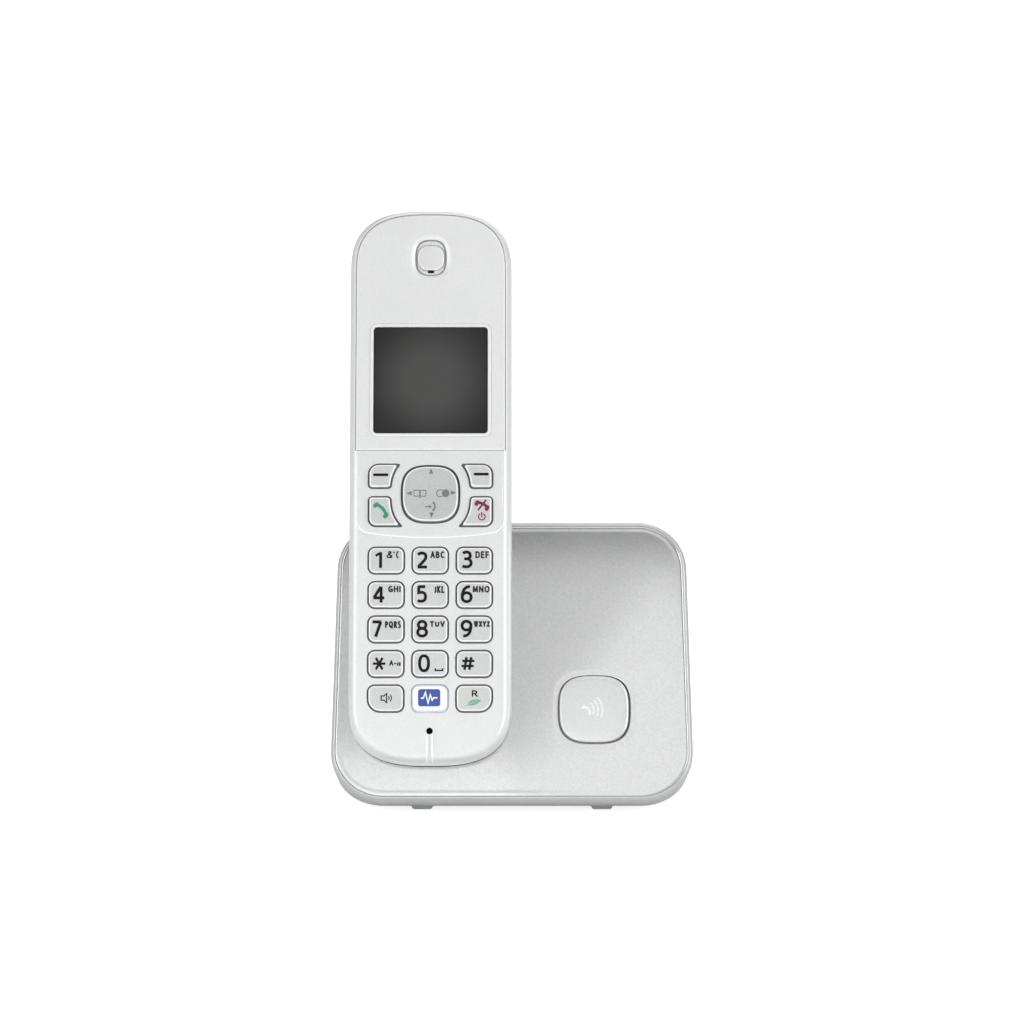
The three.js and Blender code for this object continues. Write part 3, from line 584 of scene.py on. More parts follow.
# painted shade: dark grey for gap walls; defined but put on no piece
M_GAP_SHADE = plastic("gap_wall_shade", (0.12, 0.122, 0.122), rough=0.6, cloud=0.03, peel=0.05)
M_BLACK = plastic("black_plastic", (0.018, 0.018, 0.019), rough=0.42, cloud=0.1, peel=0.08, grain=0.15)
# painted shade: near-black on the walls of holes, slots and vents; also the microphone's own black
M_HOLE_SHADE_MIC_BLACK = plastic("hole_shade_mic_black", (0.006, 0.006, 0.006), rough=0.7, cloud=0.1, peel=0.02)
M_RUBBER = plastic("foot_rubber", (0.365, 0.37, 0.37), rough=0.75, cloud=0.05, peel=0.1, grain=0.3, specular=0.3)
M_MAT = plastic("mat_silicone", (0.45, 0.46, 0.46), rough=0.6, cloud=0.04, peel=0.1, specular=0.35)
M_CELL = plastic("cell_can", (0.16, 0.30, 0.42), rough=0.3, metal=0.5, coat=0.5, coat_rough=0.1, cloud=0.04, peel=0.02)
M_INK = plastic("legend_black", (0.008, 0.008, 0.009), rough=0.55, cloud=0.1, peel=0.03, specular=0.15)
M_INK_SMALL = plastic("legend_small", (0.03, 0.03, 0.031), rough=0.55, cloud=0.1, peel=0.03, specular=0.15)
M_INK_GREY = plastic("legend_grey", (0.17, 0.172, 0.175), rough=0.38, cloud=0.06, peel=0.03)
M_INK_GREEN = plastic("legend_green", (0.035, 0.26, 0.14), rough=0.38, cloud=0.06, peel=0.03)
M_INK_LEAF = plastic("legend_leaf", (0.16, 0.40, 0.27), rough=0.38, cloud=0.06, peel=0.03)
M_INK_RED = plastic("legend_red", (0.17, 0.012, 0.045), rough=0.38, cloud=0.06, peel=0.03)
M_INK_BLUE = plastic("legend_blue", (0.035, 0.075, 0.29), rough=0.3, cloud=0.06, peel=0.03)
M_INK_WHITE = plastic("legend_white", (0.80, 0.82, 0.88), rough=0.35, cloud=0.03, peel=0.03)
M_BUTTON = plastic("button_silver", (0.67, 0.675, 0.675), rough=0.34, metal=0.40, coat=0.3, coat_rough=0.16, flake=0.05, cloud=0.012, peel=0.035)
M_EMBOSS = plastic("emboss_white", (0.83, 0.835, 0.84), rough=0.34, metal=0.1, coat=0.3, coat_rough=0.15, flake=0.03, cloud=0.02, peel=0.03)
M_CONTACT = metal("contact_metal", (0.78, 0.72, 0.55), 0.24)
M_STEEL = metal("screw_steel", (0.55, 0.55, 0.56), 0.3, (20, 20, 20))
M_TIN = metal("tin_plate", (0.62, 0.63, 0.64), 0.34)


def board_material():
    """Green board with copper tracks under the mask, tinned pads and fibre weave."""
    m, nt, b = material("board")
    tc = node(nt, "ShaderNodeTexCoord")
    brick = node(nt, "ShaderNodeTexBrick", offset=0.37, squash=1.0)
    brick.inputs["Color1"].default_value = (0.012, 0.10, 0.045, 1)
    brick.inputs["Color2"].default_value = (0.012, 0.10, 0.045, 1)
    brick.inputs["Mortar"].default_value = (0.03, 0.20, 0.08, 1)
    brick.inputs["Scale"].default_value = 160
    brick.inputs["Mortar Size"].default_value = 0.05
    nt.links.new(tc.outputs["Object"], brick.inputs["Vector"])
    dots = node(nt, "ShaderNodeTexVoronoi", feature="F1", in_Scale=260.0)
    nt.links.new(tc.outputs["Object"], dots.inputs["Vector"])
    near = node(nt, "ShaderNodeMapRange", in_1=0.14, in_2=0.18, in_3=1.0, in_4=0.0)
    nt.links.new(dots.outputs["Distance"], near.inputs[0])
    mix = node(nt, "ShaderNodeMix", data_type="RGBA")
    mix.inputs[7].default_value = (0.62, 0.60, 0.50, 1)
    nt.links.new(near.outputs[0], mix.inputs[0])
    nt.links.new(brick.outputs["Color"], mix.inputs[6])
    nt.links.new(mix.outputs[2], b.inputs["Base Color"])
    nt.links.new(near.outputs[0], b.inputs["Metallic"])
    b.inputs["Roughness"].default_value = 0.35
    b.inputs["Coat Weight"].default_value = 0.4
    bump = node(nt, "ShaderNodeBump", in_Strength=0.2, in_Distance=0.0001)
    nt.links.new(brick.outputs["Fac"], bump.inputs["Height"])
    nt.links.new(bump.outputs["Normal"], b.inputs["Normal"])
    return m


def window_material():
    """Smoked glass over a dark display, with painted shade that darkens it towards its edges: a little lighter in the
    middle.
    """
    m, nt, b = material("display_pane")
    lo, hi = NODES["display_window"].data.vertices[0].co, None
    a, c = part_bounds("display_window")
    mid = (a + c) / 2
    tc = node(nt, "ShaderNodeTexCoord")
    mp = node(nt, "ShaderNodeMapping", vector_type="TEXTURE")
    mp.inputs["Location"].default_value = mid
    mp.inputs["Scale"].default_value = (0.021, 0.021, 0.021)
    nt.links.new(tc.outputs["Object"], mp.inputs["Vector"])
    ln = node(nt, "ShaderNodeVectorMath", operation="LENGTH")
    nt.links.new(mp.outputs[0], ln.inputs[0])
    # painted shade: the pane's colour darkens from the middle towards its edges
    painted_edge_shade = node(nt, "ShaderNodeMapRange", interpolation_type="SMOOTHSTEP", in_1=0.25, in_2=1.0, in_3=1.0, in_4=0.0)
    nt.links.new(ln.outputs["Value"], painted_edge_shade.inputs[0])
    mix = node(nt, "ShaderNodeMix", data_type="RGBA")
    mix.inputs[6].default_value = (0.026, 0.0262, 0.0258, 1)
    mix.inputs[7].default_value = (0.068, 0.0685, 0.067, 1)
    nt.links.new(painted_edge_shade.outputs[0], mix.inputs[0])
    nt.links.new(mix.outputs[2], b.inputs["Base Color"])
    noise = node(nt, "ShaderNodeTexNoise", in_Scale=300.0, in_Detail=2.0)
    nt.links.new(tc.outputs["Object"], noise.inputs["Vector"])
    rv = node(nt, "ShaderNodeMapRange", in_1=0.3, in_2=0.7, in_3=0.10, in_4=0.16)
    nt.links.new(noise.outputs["Fac"], rv.inputs[0])
    nt.links.new(rv.outputs[0], b.inputs["Roughness"])
    b.inputs["Specular IOR Level"].default_value = 0.35
    return m


M_WINDOW = window_material()
M_BOARD = board_material()
M_LCD = plastic("lcd", (0.06, 0.065, 0.06), rough=0.3, coat=0.3, cloud=0.05, peel=0.02)

# ---------------------------------------------------------------- handset
CLEAR = 0.12  # between pieces that are drawn
FACE = _hi_face = float(plate_box("handset_front_cover")[1][2])  # 13: front face above the plate
BACK = float(plate_box("handset_rear_cover")[0][2])  # -12

FRONT_PROFILE = spline(
    [(PART_Z, 0.0), (7.0, 0.02), (9.2, 0.13), (10.4, 0.34), (11.3, 0.72), (12.05, 1.25), (12.55, 1.95), (12.82, 2.75), (12.95, 3.7), (FACE, 5.4)],
    4,
)
REAR_PROFILE = spline(
    [(BACK, 12.6), (BACK + 0.12, 10.6), (-11.3, 8.1), (-9.8, 5.7), (-7.2, 3.25), (-4.0, 1.52), (0, 0.46), (PART_Z - 0.35, 0.02), (PART_Z - 0.12, 0.1), (PART_Z, 0.22)],
    4,
)


def top_of(d):
    """How far the upper end is drawn in where the sides are drawn in by d: less on the face, where the rim is narrow."""
    return d if d < 0.4 else 0.4 + (d - 0.4) * 0.72


def foot_of(d):
    """The same for the lower end."""
    return d if d < 0.5 else 0.5 + (d - 0.5) * 0.40


hollow = prism(handset_ring(1.9), PART_Z - 1, 10.9)


def navzone(d, n_side=16, n_low=34):
    """The recessed zone of the navigator, drawn in by d. Its upper edge lies inside the upper panel's pocket."""
    half, r = 21.2 - d, 3.9
    xc = half - r
    x = np.linspace(-xc, xc, n_low)
    low = 64.42 + d + 0.0042 * x * x
    slope = math.atan(2 * 0.0042 * xc)
    yc = 64.42 + d + 0.0042 * xc * xc
    # the corner: a quarter circle, started at the slope of the lower edge
    cx, cy = xc - r * math.sin(slope) * 0.4, yc + r * math.cos(slope)
    a = np.linspace(-90 + math.degrees(slope), 0, 11)
    corner = np.column_stack([cx + (half - cx) * np.cos(np.radians(a)), cy + r * np.sin(np.radians(a))])
    side = np.column_stack([np.full(n_side, half), np.linspace(cy + 1.2, SEAM_Y + 0.4, n_side)])
    right = np.vstack([np.column_stack([x, low])[(x > 0) & (x < corner[0, 0] - 0.3)], corner, side])
    left = right[::-1] * [-1, 1]
    mid = np.array([[0.0, 64.42 + d]])
    return np.vstack([left, mid, right])


NAV_FLOOR = FACE - 0.46
# the recess's walls, from the groove at the floor's edge up to the face, take slot 3 of the front shell: a painted
# highlight white
nav_cut = loft(
    [
        (navzone(0.62), NAV_FLOOR),
        (navzone(0.48), NAV_FLOOR - 0.10),
        (navzone(0.36), NAV_FLOOR - 0.11),
        (navzone(0.26), NAV_FLOOR),
        (navzone(0.10), NAV_FLOOR + 0.20),
        (navzone(-0.04), NAV_FLOOR + 0.35),
        (navzone(-0.18), FACE - 0.035),
        (navzone(-0.34), FACE + 0.008),
        (navzone(-0.36), FACE + 0.6),
    ],
    [0, 0, 0, 3, 3, 3, 3, 3, 0],
)


def hole(outline, z_face, gap, z0=4.0, m=0):
    """A cutter through a face at z_face, with a small rounded lip."""
    return loft(
        [
            (outline(-gap), z0),
            (outline(-gap), z_face - 0.16),
            (outline(-gap - 0.03), z_face - 0.07),
            (outline(-gap - 0.09), z_face - 0.015),
            (outline(-gap - 0.2), z_face + 0.012),
            (outline(-gap - 0.22), z_face + 0.8),
        ],
        [m] * 6,
    )


# keys: their outlines follow the CAD keys' own boxes
FLANGE = 0.8


def key_outline(name):
    lo, hi = plate_box(name)
    x0, x1, y0, y1 = lo[0] + FLANGE - HX, hi[0] - FLANGE - HX, lo[1] + FLANGE - HY, hi[1] - FLANGE - HY
    big, r = 3.4, 1.75
    radii = {"key_speaker": (big, r, r, r), "key_recall": (r, big, r, r)}.get(name, (r, r, r, r))

    def outline(d):
        return round_rect(
            (x0 + x1) / 2, (y0 + y1) / 2, x1 - x0 - 2 * d, y1 - y0 - 2 * d, [max(v - d, 0.15) for v in radii]
        )

    return outline


NAV_LO, NAV_HI = plate_box("navigator_key")
NAV_X = (NAV_LO[0] + NAV_HI[0]) / 2 - HX
NAV_Y = (NAV_LO[1] + NAV_HI[1]) / 2 - HY
NAV_TOP = NAV_HI[2]
NAV_A = (NAV_HI[0] - NAV_LO[0]) / 2 - 0.9
SIDE_R, SIDE_N = 11.6, 2.6


def side_outline(name, r_low, r_high, low, high, flip):
    lo, hi = plate_box("key_soft_left")
    xo0 = lo[0] + FLANGE - HX

    def outline(d):
        xo, y0, y1, R = xo0 + d, low + d, high - d, SIDE_R + d
        ra, rb = max(r_low - d, 0.2), max(r_high - d, 0.2)

        def arc_x(y):
            return NAV_X - R * (1 - np.abs((y - NAV_Y) / R) ** SIDE_N) ** (1 / SIDE_N)

        # the inner side, with rounded corners where it meets the level edges
        rc = max(0.95 - d * 0.6, 0.3)
        ys = np.linspace(y0 + rc, y1 - rc, 15)
        inner = np.column_stack([arc_x(ys), ys])

        def blend(corner, a, b, n=5):
            t = np.linspace(0, 1, n + 2)[1:-1, None]
            return (1 - t) ** 2 * a + 2 * t * (1 - t) * corner + t**2 * b

        c0, c1 = np.array([arc_x(y0), y0]), np.array([arc_x(y1), y1])
        a0, b1 = c0 - [rc, 0], c1 - [rc, 0]
        pts = np.vstack(
            [
                arc(xo + ra, y0 + ra, ra, ra, 180, 270, 8),
                a0[None],
                blend(c0, a0, inner[0]),
                inner,
                blend(c1, inner[-1], b1),
                b1[None],
                arc(xo + rb, y1 - rb, rb, rb, 90, 180, 8),
            ]
        )
        if flip:
            pts = (pts * [-1, 1] + [2 * NAV_X, 0])[::-1]
        return pts

    return outline


def side_span(name):
    lo, hi = plate_box(name)
    return lo[1] + FLANGE - HY, hi[1] - FLANGE - HY


DIAL = ["key_1", "key_2", "key_3", "key_4", "key_5", "key_6", "key_7", "key_8", "key_9", "key_star", "key_0", "key_hash", "key_speaker", "key_noise", "key_recall"]
KEYS = {n: key_outline(n) for n in DIAL}
s0, s1 = side_span("key_soft_left")
t0, t1 = side_span("key_talk")
SIDE = {
    "key_soft_left": side_outline("key_soft_left", 0.8, 2.6, s0, s1, False),
    "key_soft_right": side_outline("key_soft_right", 0.8, 2.6, s0, s1, True),
    "key_talk": side_outline("key_talk", 1.9, 0.8, t0, t1, False),
    "key_off": side_outline("key_off", 1.9, 0.8, t0, t1, True),
}


def nav_outline(d):
    return superellipse(NAV_X, NAV_Y, NAV_A - d, NAV_A - d, 2.9, 104)


GAP = 0.46
holes = Shape()
for n in DIAL:
    holes.join(hole(KEYS[n], FACE, GAP))
for n in SIDE:
    holes.join(hole(SIDE[n], NAV_FLOOR, GAP))
holes.join(hole(nav_outline, NAV_FLOOR, 0.6))
_mlo, _mhi = plate_box("microphone")
MIC_X, MIC_Y = (_mlo[0] + _mhi[0]) / 2 - HX, (_mlo[1] + _mhi[1]) / 2 - HY
# the microphone hole's walls below its lip are painted in near-black shade
mic_cut = hole(lambda d: superellipse(MIC_X, MIC_Y, 0.90 - d, 0.90 - d, 2.0, 32), FACE, 0.0, 8.0, 1)
mic_cut.m = [0 if min(mic_cut.v[i][2] for i in f) > FACE - 0.1 else 1 for f in mic_cut.f]
pocket = prism(fascia_ring(-0.20), FACE - 1.05, FACE + 1)
pocket.m = [2] * len(pocket.f)


def ribs(shape):
    """The shallow channel from the microphone hole over the lower end, between two raised ribs."""
    me = mesh_of(shape)
    me.update()
    nrm = np.zeros(len(me.vertices) * 3)
    me.vertices.foreach_get("normal", nrm)
    nrm = nrm.reshape(-1, 3)
    v = np.asarray(shape.v)
    x, y, z = v[:, 0] - MIC_X, v[:, 1], v[:, 2]
    u = np.abs(x)
    rib = 0.42 * np.clip(1 - ((u - 0.88) / 0.40) ** 2, 0, 1) ** 0.8
    chan = -0.18 * np.clip(1 - (u / 0.5) ** 4, 0, 1)
    fade = np.clip((MIC_Y - 0.35 - y) / 0.5, 0, 1) * np.clip((z - 7.4) / 2.2, 0, 1)
    fade = fade * fade * (3 - 2 * fade)
    amount = (rib + chan) * fade * (z > PART_Z)
    v = v.copy()
    v[:, 2] += amount * np.clip(nrm[:, 2], 0, 1)
    shape.v = list(map(tuple, v))
    # the tops of the ribs take slot 3 of the front shell: a painted highlight white
    for i, f in enumerate(shape.f):
        c = np.mean([shape.v[k] for k in f], axis=0)
        if len(f) == 4 and 0.62 < abs(c[0] - MIC_X) < 1.0 and c[1] < MIC_Y - 0.5 and c[2] > 10.4:
            shape.m[i] = 3
    bpy.data.meshes.remove(me)
    return shape


# rows across the face give the ribs their shape: a fine strip joined into the loft's flat top
def ribbed_front():
    s = Shape()
    levels = [(handset_ring(0.22, 0.22), PART_Z), (handset_ring(0.02, 0.02), PART_Z + 0.25)]
    levels += [(handset_ring(d, top_of(d), foot=foot_of(d)), z) for z, d in FRONT_PROFILE[3:]]
    n = len(levels[0][0])
    at = [s.add(ring3(p, z)) for p, z in levels]
    s.face([at[0] + j for j in range(n)][::-1])
    for i in range(len(levels) - 1):
        s.strip(at[i], at[i + 1], n)
    # the flat top, as a face round a grid over the ribs
    last = np.asarray(levels[-1][0])
    low = [j for j in range(len(T_LOW)) if abs(last[j, 0]) < 1.5]
    cols = sorted(low, key=lambda j: last[j, 0])
    ys = np.linspace(last[cols[0], 1], MIC_Y - 0.1, 9)[1:]
    grid = [[at[-1] + j for j in cols]]
    for y in ys:
        grid.append([s.add([(last[j, 0], y, FACE)]) for j in cols])
    for r in range(len(grid) - 1):
        for c in range(len(cols) - 1):
            s.face((grid[r][c], grid[r][c + 1], grid[r + 1][c + 1], grid[r + 1][c]))
    loop = [at[-1] + j for j in range(n)]
    first, lastj = cols[0], cols[-1]  # ring runs ccw: left to right along the lower end
    rest = [at[-1] + j for j in range(lastj, n)] + [at[-1] + j for j in range(0, first + 1)]
    rim = rest + [grid[r][0] for r in range(1, len(grid))] + grid[-1][1:] + [grid[r][-1] for r in range(len(grid) - 2, 0, -1)]
    s.face(rim)
    return s


front = ribs(ribbed_front())
front = csg(front, ("-", hollow), ("-", nav_cut), ("-", pocket), ("-", holes), ("-", mic_cut))


# ---- upper panel with its dimple and the frame round the display
_wlo, _whi = plate_box("display_window")
WIN_X, WIN_Y = (_wlo[0] + _whi[0]) / 2 - HX, (_wlo[1] + _whi[1]) / 2 - HY
WIN_W, WIN_H = _whi[0] - _wlo[0], _whi[1] - _wlo[1]
_elo, _ehi = plate_box("earpiece_trim")
EAR_X, EAR_Y = (_elo[0] + _ehi[0]) / 2 - HX, (_elo[1] + _ehi[1]) / 2 - HY
EAR_A, EAR_B, EAR_Y = (_ehi[0] - _elo[0]) / 2 + 0.26, (_ehi[1] - _elo[1]) / 2 + 0.36, EAR_Y - 0.62
front = csg(front, ("-", prism(superellipse(EAR_X, EAR_Y, EAR_A + CLEAR, EAR_B + CLEAR, 2.8, 88), 11.25, FACE + 1, 2)))
make("handset_front_shell", front, [M_SHELL, M_HOLE_SHADE_MIC_BLACK, M_SHELL, M_HIGHLIGHT_WHITE], "handset", ["handset_front_cover"], "handset")
_plo, _phi = plate_box("display_fascia")

fascia = loft(
    [
        (fascia_ring(0.0), _plo[2]),
        (fascia_ring(0.0), FACE - 0.34),
        (fascia_ring(0.035), FACE - 0.22),
        (fascia_ring(0.11), FACE - 0.12),
        (fascia_ring(0.24), FACE - 0.05),
        (fascia_ring(0.45), FACE - 0.012),
        (fascia_ring(0.75), FACE),
    ]
)


def win_rect(d, r=1.0):
    return round_rect(WIN_X, WIN_Y, WIN_W - 2 * d, WIN_H - 2 * d, max(r - d, 0.3), 9)


bezel = loft(
    [
        (win_rect(-0.98), FACE - 0.5),
        (win_rect(-0.98), FACE + 0.04),
        (win_rect(-0.93), FACE + 0.16),
        (win_rect(-0.83), FACE + 0.24),
        (win_rect(-0.68), FACE + 0.285),
        (win_rect(-0.5), FACE + 0.30),
        (win_rect(-0.3), FACE + 0.30),
    ],
    [1] * 7,
)
bezel_groove = loft(
    [
        (win_rect(-1.08), FACE - 0.12),
        (win_rect(-1.12), FACE - 0.06),
        (win_rect(-1.22), FACE - 0.012),
        (win_rect(-1.34), FACE + 0.02),
        (win_rect(-1.36), FACE + 1),
    ]
)
opening = loft(
    [
        (win_rect(-0.05), _plo[2] - 1),
        (win_rect(-0.05), FACE - 0.02),
        (win_rect(-0.08), FACE + 0.12),
        (win_rect(-0.16), FACE + 0.21),
        (win_rect(-0.28), FACE + 0.27),
        (win_rect(-0.42), FACE + 0.302),
        (win_rect(-0.44), FACE + 1),
    ],
    [1] * 7,
)


DIMPLE = 0.95
DIMPLE_U, DIMPLE_K = spline([(0, 1.0), (0.12, 0.68), (0.25, 0.35), (0.34, 0.19), (0.45, 0.095), (0.65, 0.03), (1.0, 0.0)], 4).T


def dimple_level(u):
    """u runs from 0 at the ring to 1 at the rim of the dimple."""
    a = 4.2 + u * 4.4
    b = 4.85 + u * 3.85
    power = 3.0 - 0.95 * min(u * 1.4, 1)
    t = super_t(1, 1, 2.6, 88)
    c, s = np.cos(t), np.sin(t)
    pts = np.column_stack(
        [EAR_X + a * np.sign(c) * np.abs(c) ** (2 / power), EAR_Y + b * np.sign(s) * np.abs(s) ** (2 / power)]
    )
    if u >= 1:
        return pts, FACE + 0.004
    return pts, FACE - DIMPLE * float(np.interp(u, DIMPLE_U, DIMPLE_K))


dimple = loft([dimple_level(u) for u in (0, 0.05, 0.1, 0.15, 0.2, 0.25, 0.3, 0.35, 0.4, 0.46, 0.54, 0.64, 0.76, 0.88, 1.0)] + [(dimple_level(1.02)[0], FACE + 0.05), (dimple_level(1.04)[0], FACE + 1)])
# the ear opening's walls take slot 2 of the upper panel: a grey painted shade
ear_hole = prism(superellipse(EAR_X, EAR_Y, EAR_A + CLEAR, EAR_B + CLEAR, 2.8, 88), _plo[2] - 1, FACE + 1)
ear_hole.paint(2)
fascia = csg(fascia, ("-", bezel_groove), ("+", bezel), ("-", opening), ("-", dimple), ("-", ear_hole))
make("handset_upper_panel", fascia, [M_FASCIA, M_FRAME, M_EAR_GAP_SHADE], "handset", ["display_fascia"], "handset")

window = loft(
    [
        (win_rect(0.0), _wlo[2]),
        (win_rect(0.0), _whi[2] - 0.12),
        (win_rect(0.04), _whi[2] - 0.04),
        (win_rect(0.12), _whi[2]),
    ]
)
make("display_glass", window, [M_WINDOW], "handset", ["display_window"], "handset")


E0 = FACE - DIMPLE


def ear_line(da, db, z, n=2.8):
    """The earpiece's outline drawn in by da across and by db along."""
    return superellipse(EAR_X, EAR_Y, EAR_A - da, EAR_B - db, n, 88), z


# a gap whose walls and floor are in a grey painted shade, a narrow frame that widens above and below the pad, a second
# gap in the same painted shade, and the crowned pad
ear = loft(
    [
        ear_line(0, 0, 11.3),
        ear_line(0, 0, E0 - 0.52),
        ear_line(0.38, 0.22, E0 - 0.52),
        ear_line(0.38, 0.22, E0 - 0.20),
        ear_line(0.40, 0.32, E0 - 0.11),
        ear_line(0.42, 0.44, E0 - 0.08),
        ear_line(0.43, 1.26, E0 - 0.10),
        ear_line(0.44, 1.36, E0 - 0.20, 2.75),
        ear_line(0.44, 1.37, E0 - 0.30, 2.75),
        ear_line(0.60, 1.50, E0 - 0.30, 2.75),
        ear_line(0.60, 1.50, E0 + 0.02, 2.75),
        ear_line(0.67, 1.57, E0 + 0.12, 2.75),
        ear_line(0.80, 1.70, E0 + 0.22, 2.75),
        ear_line(0.98, 1.88, E0 + 0.30, 2.7),
        ear_line(1.3, 2.15, E0 + 0.35, 2.7),
        ear_line(1.9, 2.7, E0 + 0.37, 2.6),
        ear_line(2.9, 3.5, E0 + 0.385, 2.4),
    ],
    [0, 3, 3, 3, 0, 0, 0, 0, 3, 3, 3, 1, 1, 1, 1, 1, 1],
)
# the sound slot's walls are painted in near-black shade
ear = csg(ear, ("-", block(EAR_X - 0.88, EAR_X + 0.88, EAR_Y - 4.46, EAR_Y - 3.62, 11.42, 14, 2)))
make("earpiece_ring", ear, [M_TRIM, M_PAD, M_HOLE_SHADE_MIC_BLACK, M_EAR_GAP_SHADE], "handset", ["earpiece_trim"], "handset")


# ---- keys
def cap(outline, z0, zs, top, flange, face, edge=0.40, dish=0.0, bevel=0.42, skirt=0.39):
    """A key: flange, a skirt that all but fills the hole, a wall, a bevel round the rim, and the face. Flange and skirt
    take a dark painted shade, the wall a grey painted shade and the bevel a painted highlight, except on keys given one
    material.
    """
    levels = [
        (outline(-flange), z0, 2),
        (outline(-flange), zs, 2),
        (outline(-skirt), zs + 0.001, 2),
        (outline(-skirt), face - 0.66, 2),
        (outline(-skirt + 0.04), face - 0.62, 2),
        (outline(0), face - 0.62, 3),
        (outline(0), top - bevel, 1),
        (outline(0.02), top - bevel * 0.62, 1),
        (outline(0.09), top - bevel * 0.30, 1),
        (outline(0.21), top - bevel * 0.10, 1),
        (outline(edge), top, 0),
    ]
    inner = outline(edge)
    c = inner.mean(0)
    for k in (0.9, 0.7, 0.45, 0.2) if dish else ():
        levels.append((c + (inner - c) * k, top - dish * (1 - k * k), 0))
    s = Shape()
    n = len(inner)
    at = [s.add(ring3(p, z)) for p, z, _ in levels]
    s.face([at[0] + j for j in range(n)][::-1], 2)
    for i in range(len(levels) - 1):
        s.strip(at[i], at[i + 1], n, levels[i][2])
    s.face([at[-1] + j for j in range(n)], 0)
    return s


_klo, _khi = plate_box("key_5")
KEY_TOP = _khi[2]
for n, f in {**KEYS, **SIDE}.items():
    lo, hi = plate_box(n)
    side = n in SIDE
    # slots: key grey face, painted highlight on the bevel, dark painted shade on flange and skirt, grey painted shade
    # on the wall
    mats = [M_KEY, M_KEY_EDGE_HIGHLIGHT, M_KEY_SIDE_SHADE, M_KEY_WALL_SHADE]
    if n == "key_noise":
        mats = [M_CLEAR, M_CLEAR, M_CLEAR, M_CLEAR]
    s = cap(f, lo[2], lo[2] + 0.8, hi[2], FLANGE, NAV_FLOOR if side else FACE, bevel=0.62 if side else 0.45)
    make("cap_" + n[4:], s, mats, n, [n], "handset")
_nlo, _nhi = plate_box("navigator_key")
s = cap(nav_outline, _nlo[2], _nlo[2] + 0.45, _nhi[2], 0.9, NAV_FLOOR, edge=0.40, dish=0.22, bevel=0.6)
make("cap_navigator", s, [M_NAV, M_KEY_EDGE_HIGHLIGHT, M_KEY_SIDE_SHADE, M_KEY_WALL_SHADE], "navigator_key", ["navigator_key"], "handset")
#@@LEGENDS@@

# ---------------------------------------------------------------- base
# the housing's wall behind the outline runs back along the plate's own axis until it meets the wedge
TOP_AT = (14.425, 71.6)  # a point on the rear slope, part (Y, Z)
REAR_WALL_H = 23.0


def fillet(p, q, r, radius, steps=6):
    """Points of a rounded corner at q between p and r."""
    p, q, r = map(np.asarray, (p, q, r))
    u, v = (p - q) / np.linalg.norm(p - q), (r - q) / np.linalg.norm(r - q)
    half = math.acos(np.clip(u @ v, -1, 1)) / 2
    reach = radius / math.tan(half)
    c = q + (u + v) / np.linalg.norm(u + v) * radius / math.sin(half)
    a, b = q + u * reach - c, q + v * reach - c
    a0, a1 = math.atan2(a[1], a[0]), math.atan2(b[1], b[0])
    da = (a1 - a0 + math.pi) % (2 * math.pi) - math.pi
    return [c + radius * np.array([math.cos(a0 + da * k), math.sin(a0 + da * k)]) for k in np.linspace(0, 1, steps)]


def wedge_profile(t):
    """The underside, rear wall and rear slope, t in from the outside, as plate (y, z)."""
    back, low = BACK_Y - t, FLOOR_Z + t
    d = np.array([TOP_AT[0] - BACK_Y, TOP_AT[1] - REAR_WALL_H])
    d = d / np.linalg.norm(d)
    p = np.array([BACK_Y, REAR_WALL_H]) + np.array([-d[1], d[0]]) * t
    corner = p + d * ((back - p[0]) / d[0])
    high = p + d * ((115 - p[1]) / d[1])
    pts = [np.array([-95.0, low])]
    pts += fillet((-95, low), (back, low), corner, 2.6)
    pts += fillet((back, low), corner, high, 5.0)
    pts += [high]
    return np.array([to_plate(*q) for q in pts])


WEDGE = wedge_profile(0.0)
WEDGE_IN = wedge_profile(2.2)
# rows up the sides: everywhere the wedge turns, and evenly between
SIDE_ROWS = np.unique(
    np.round(
        np.concatenate([np.linspace(R_LOW, BASE_H - R_TOP, 15)[1:-1], [y for y, _ in WEDGE if R_LOW + 0.4 < y < BASE_H - R_TOP - 0.4]]),
        3,
    )
)
keep = [SIDE_ROWS[0]]
for y in SIDE_ROWS[1:]:
    if y - keep[-1] > 0.12:
        keep.append(y)
SIDE_ROWS = np.array(keep)


def skin_in(z):
    pts = [(BACK, 10.5), (-11.3, 8.0), (-9.8, 5.6), (-7.2, 3.2), (-4.0, 1.5), (0, 0.45), (PART_Z, 0)]
    return float(np.interp(z, [p[0] for p in pts], [p[1] for p in pts]))


CRADLE = [(-12.6, 9.9), (-11.6, 7.9), (-9.9, 5.1), (-7.3, 2.75), (-4.1, 1.12), (-1.8, 0.58), (-0.6, 0.33)]
CRADLE_FINE = spline(CRADLE, 5)


def trough_ring(d, end=130.0, rows=30):
    """The cradle's outline, a little larger than the handset's, run out past the base's upper edge. In plate coordinates."""
    a, b = HS_W / 2 - d, HS_END - d
    low = d + b
    xl, yl = end_points(a, b, end_t(97))
    side = np.linspace(low, end, rows + 1)[1:]
    top = np.linspace(a, -a, 9)[1:-1]
    return np.vstack(
        [
            np.column_stack([-xl, low - yl]),
            np.column_stack([np.full(rows, a), side]),
            np.column_stack([top, np.full(7, end)]),
            np.column_stack([np.full(rows, -a), side[::-1]]),
        ]
    ) + [HX, HY]


def back_z(y, profile):
    return np.interp(y, profile[:, 0], profile[:, 1])


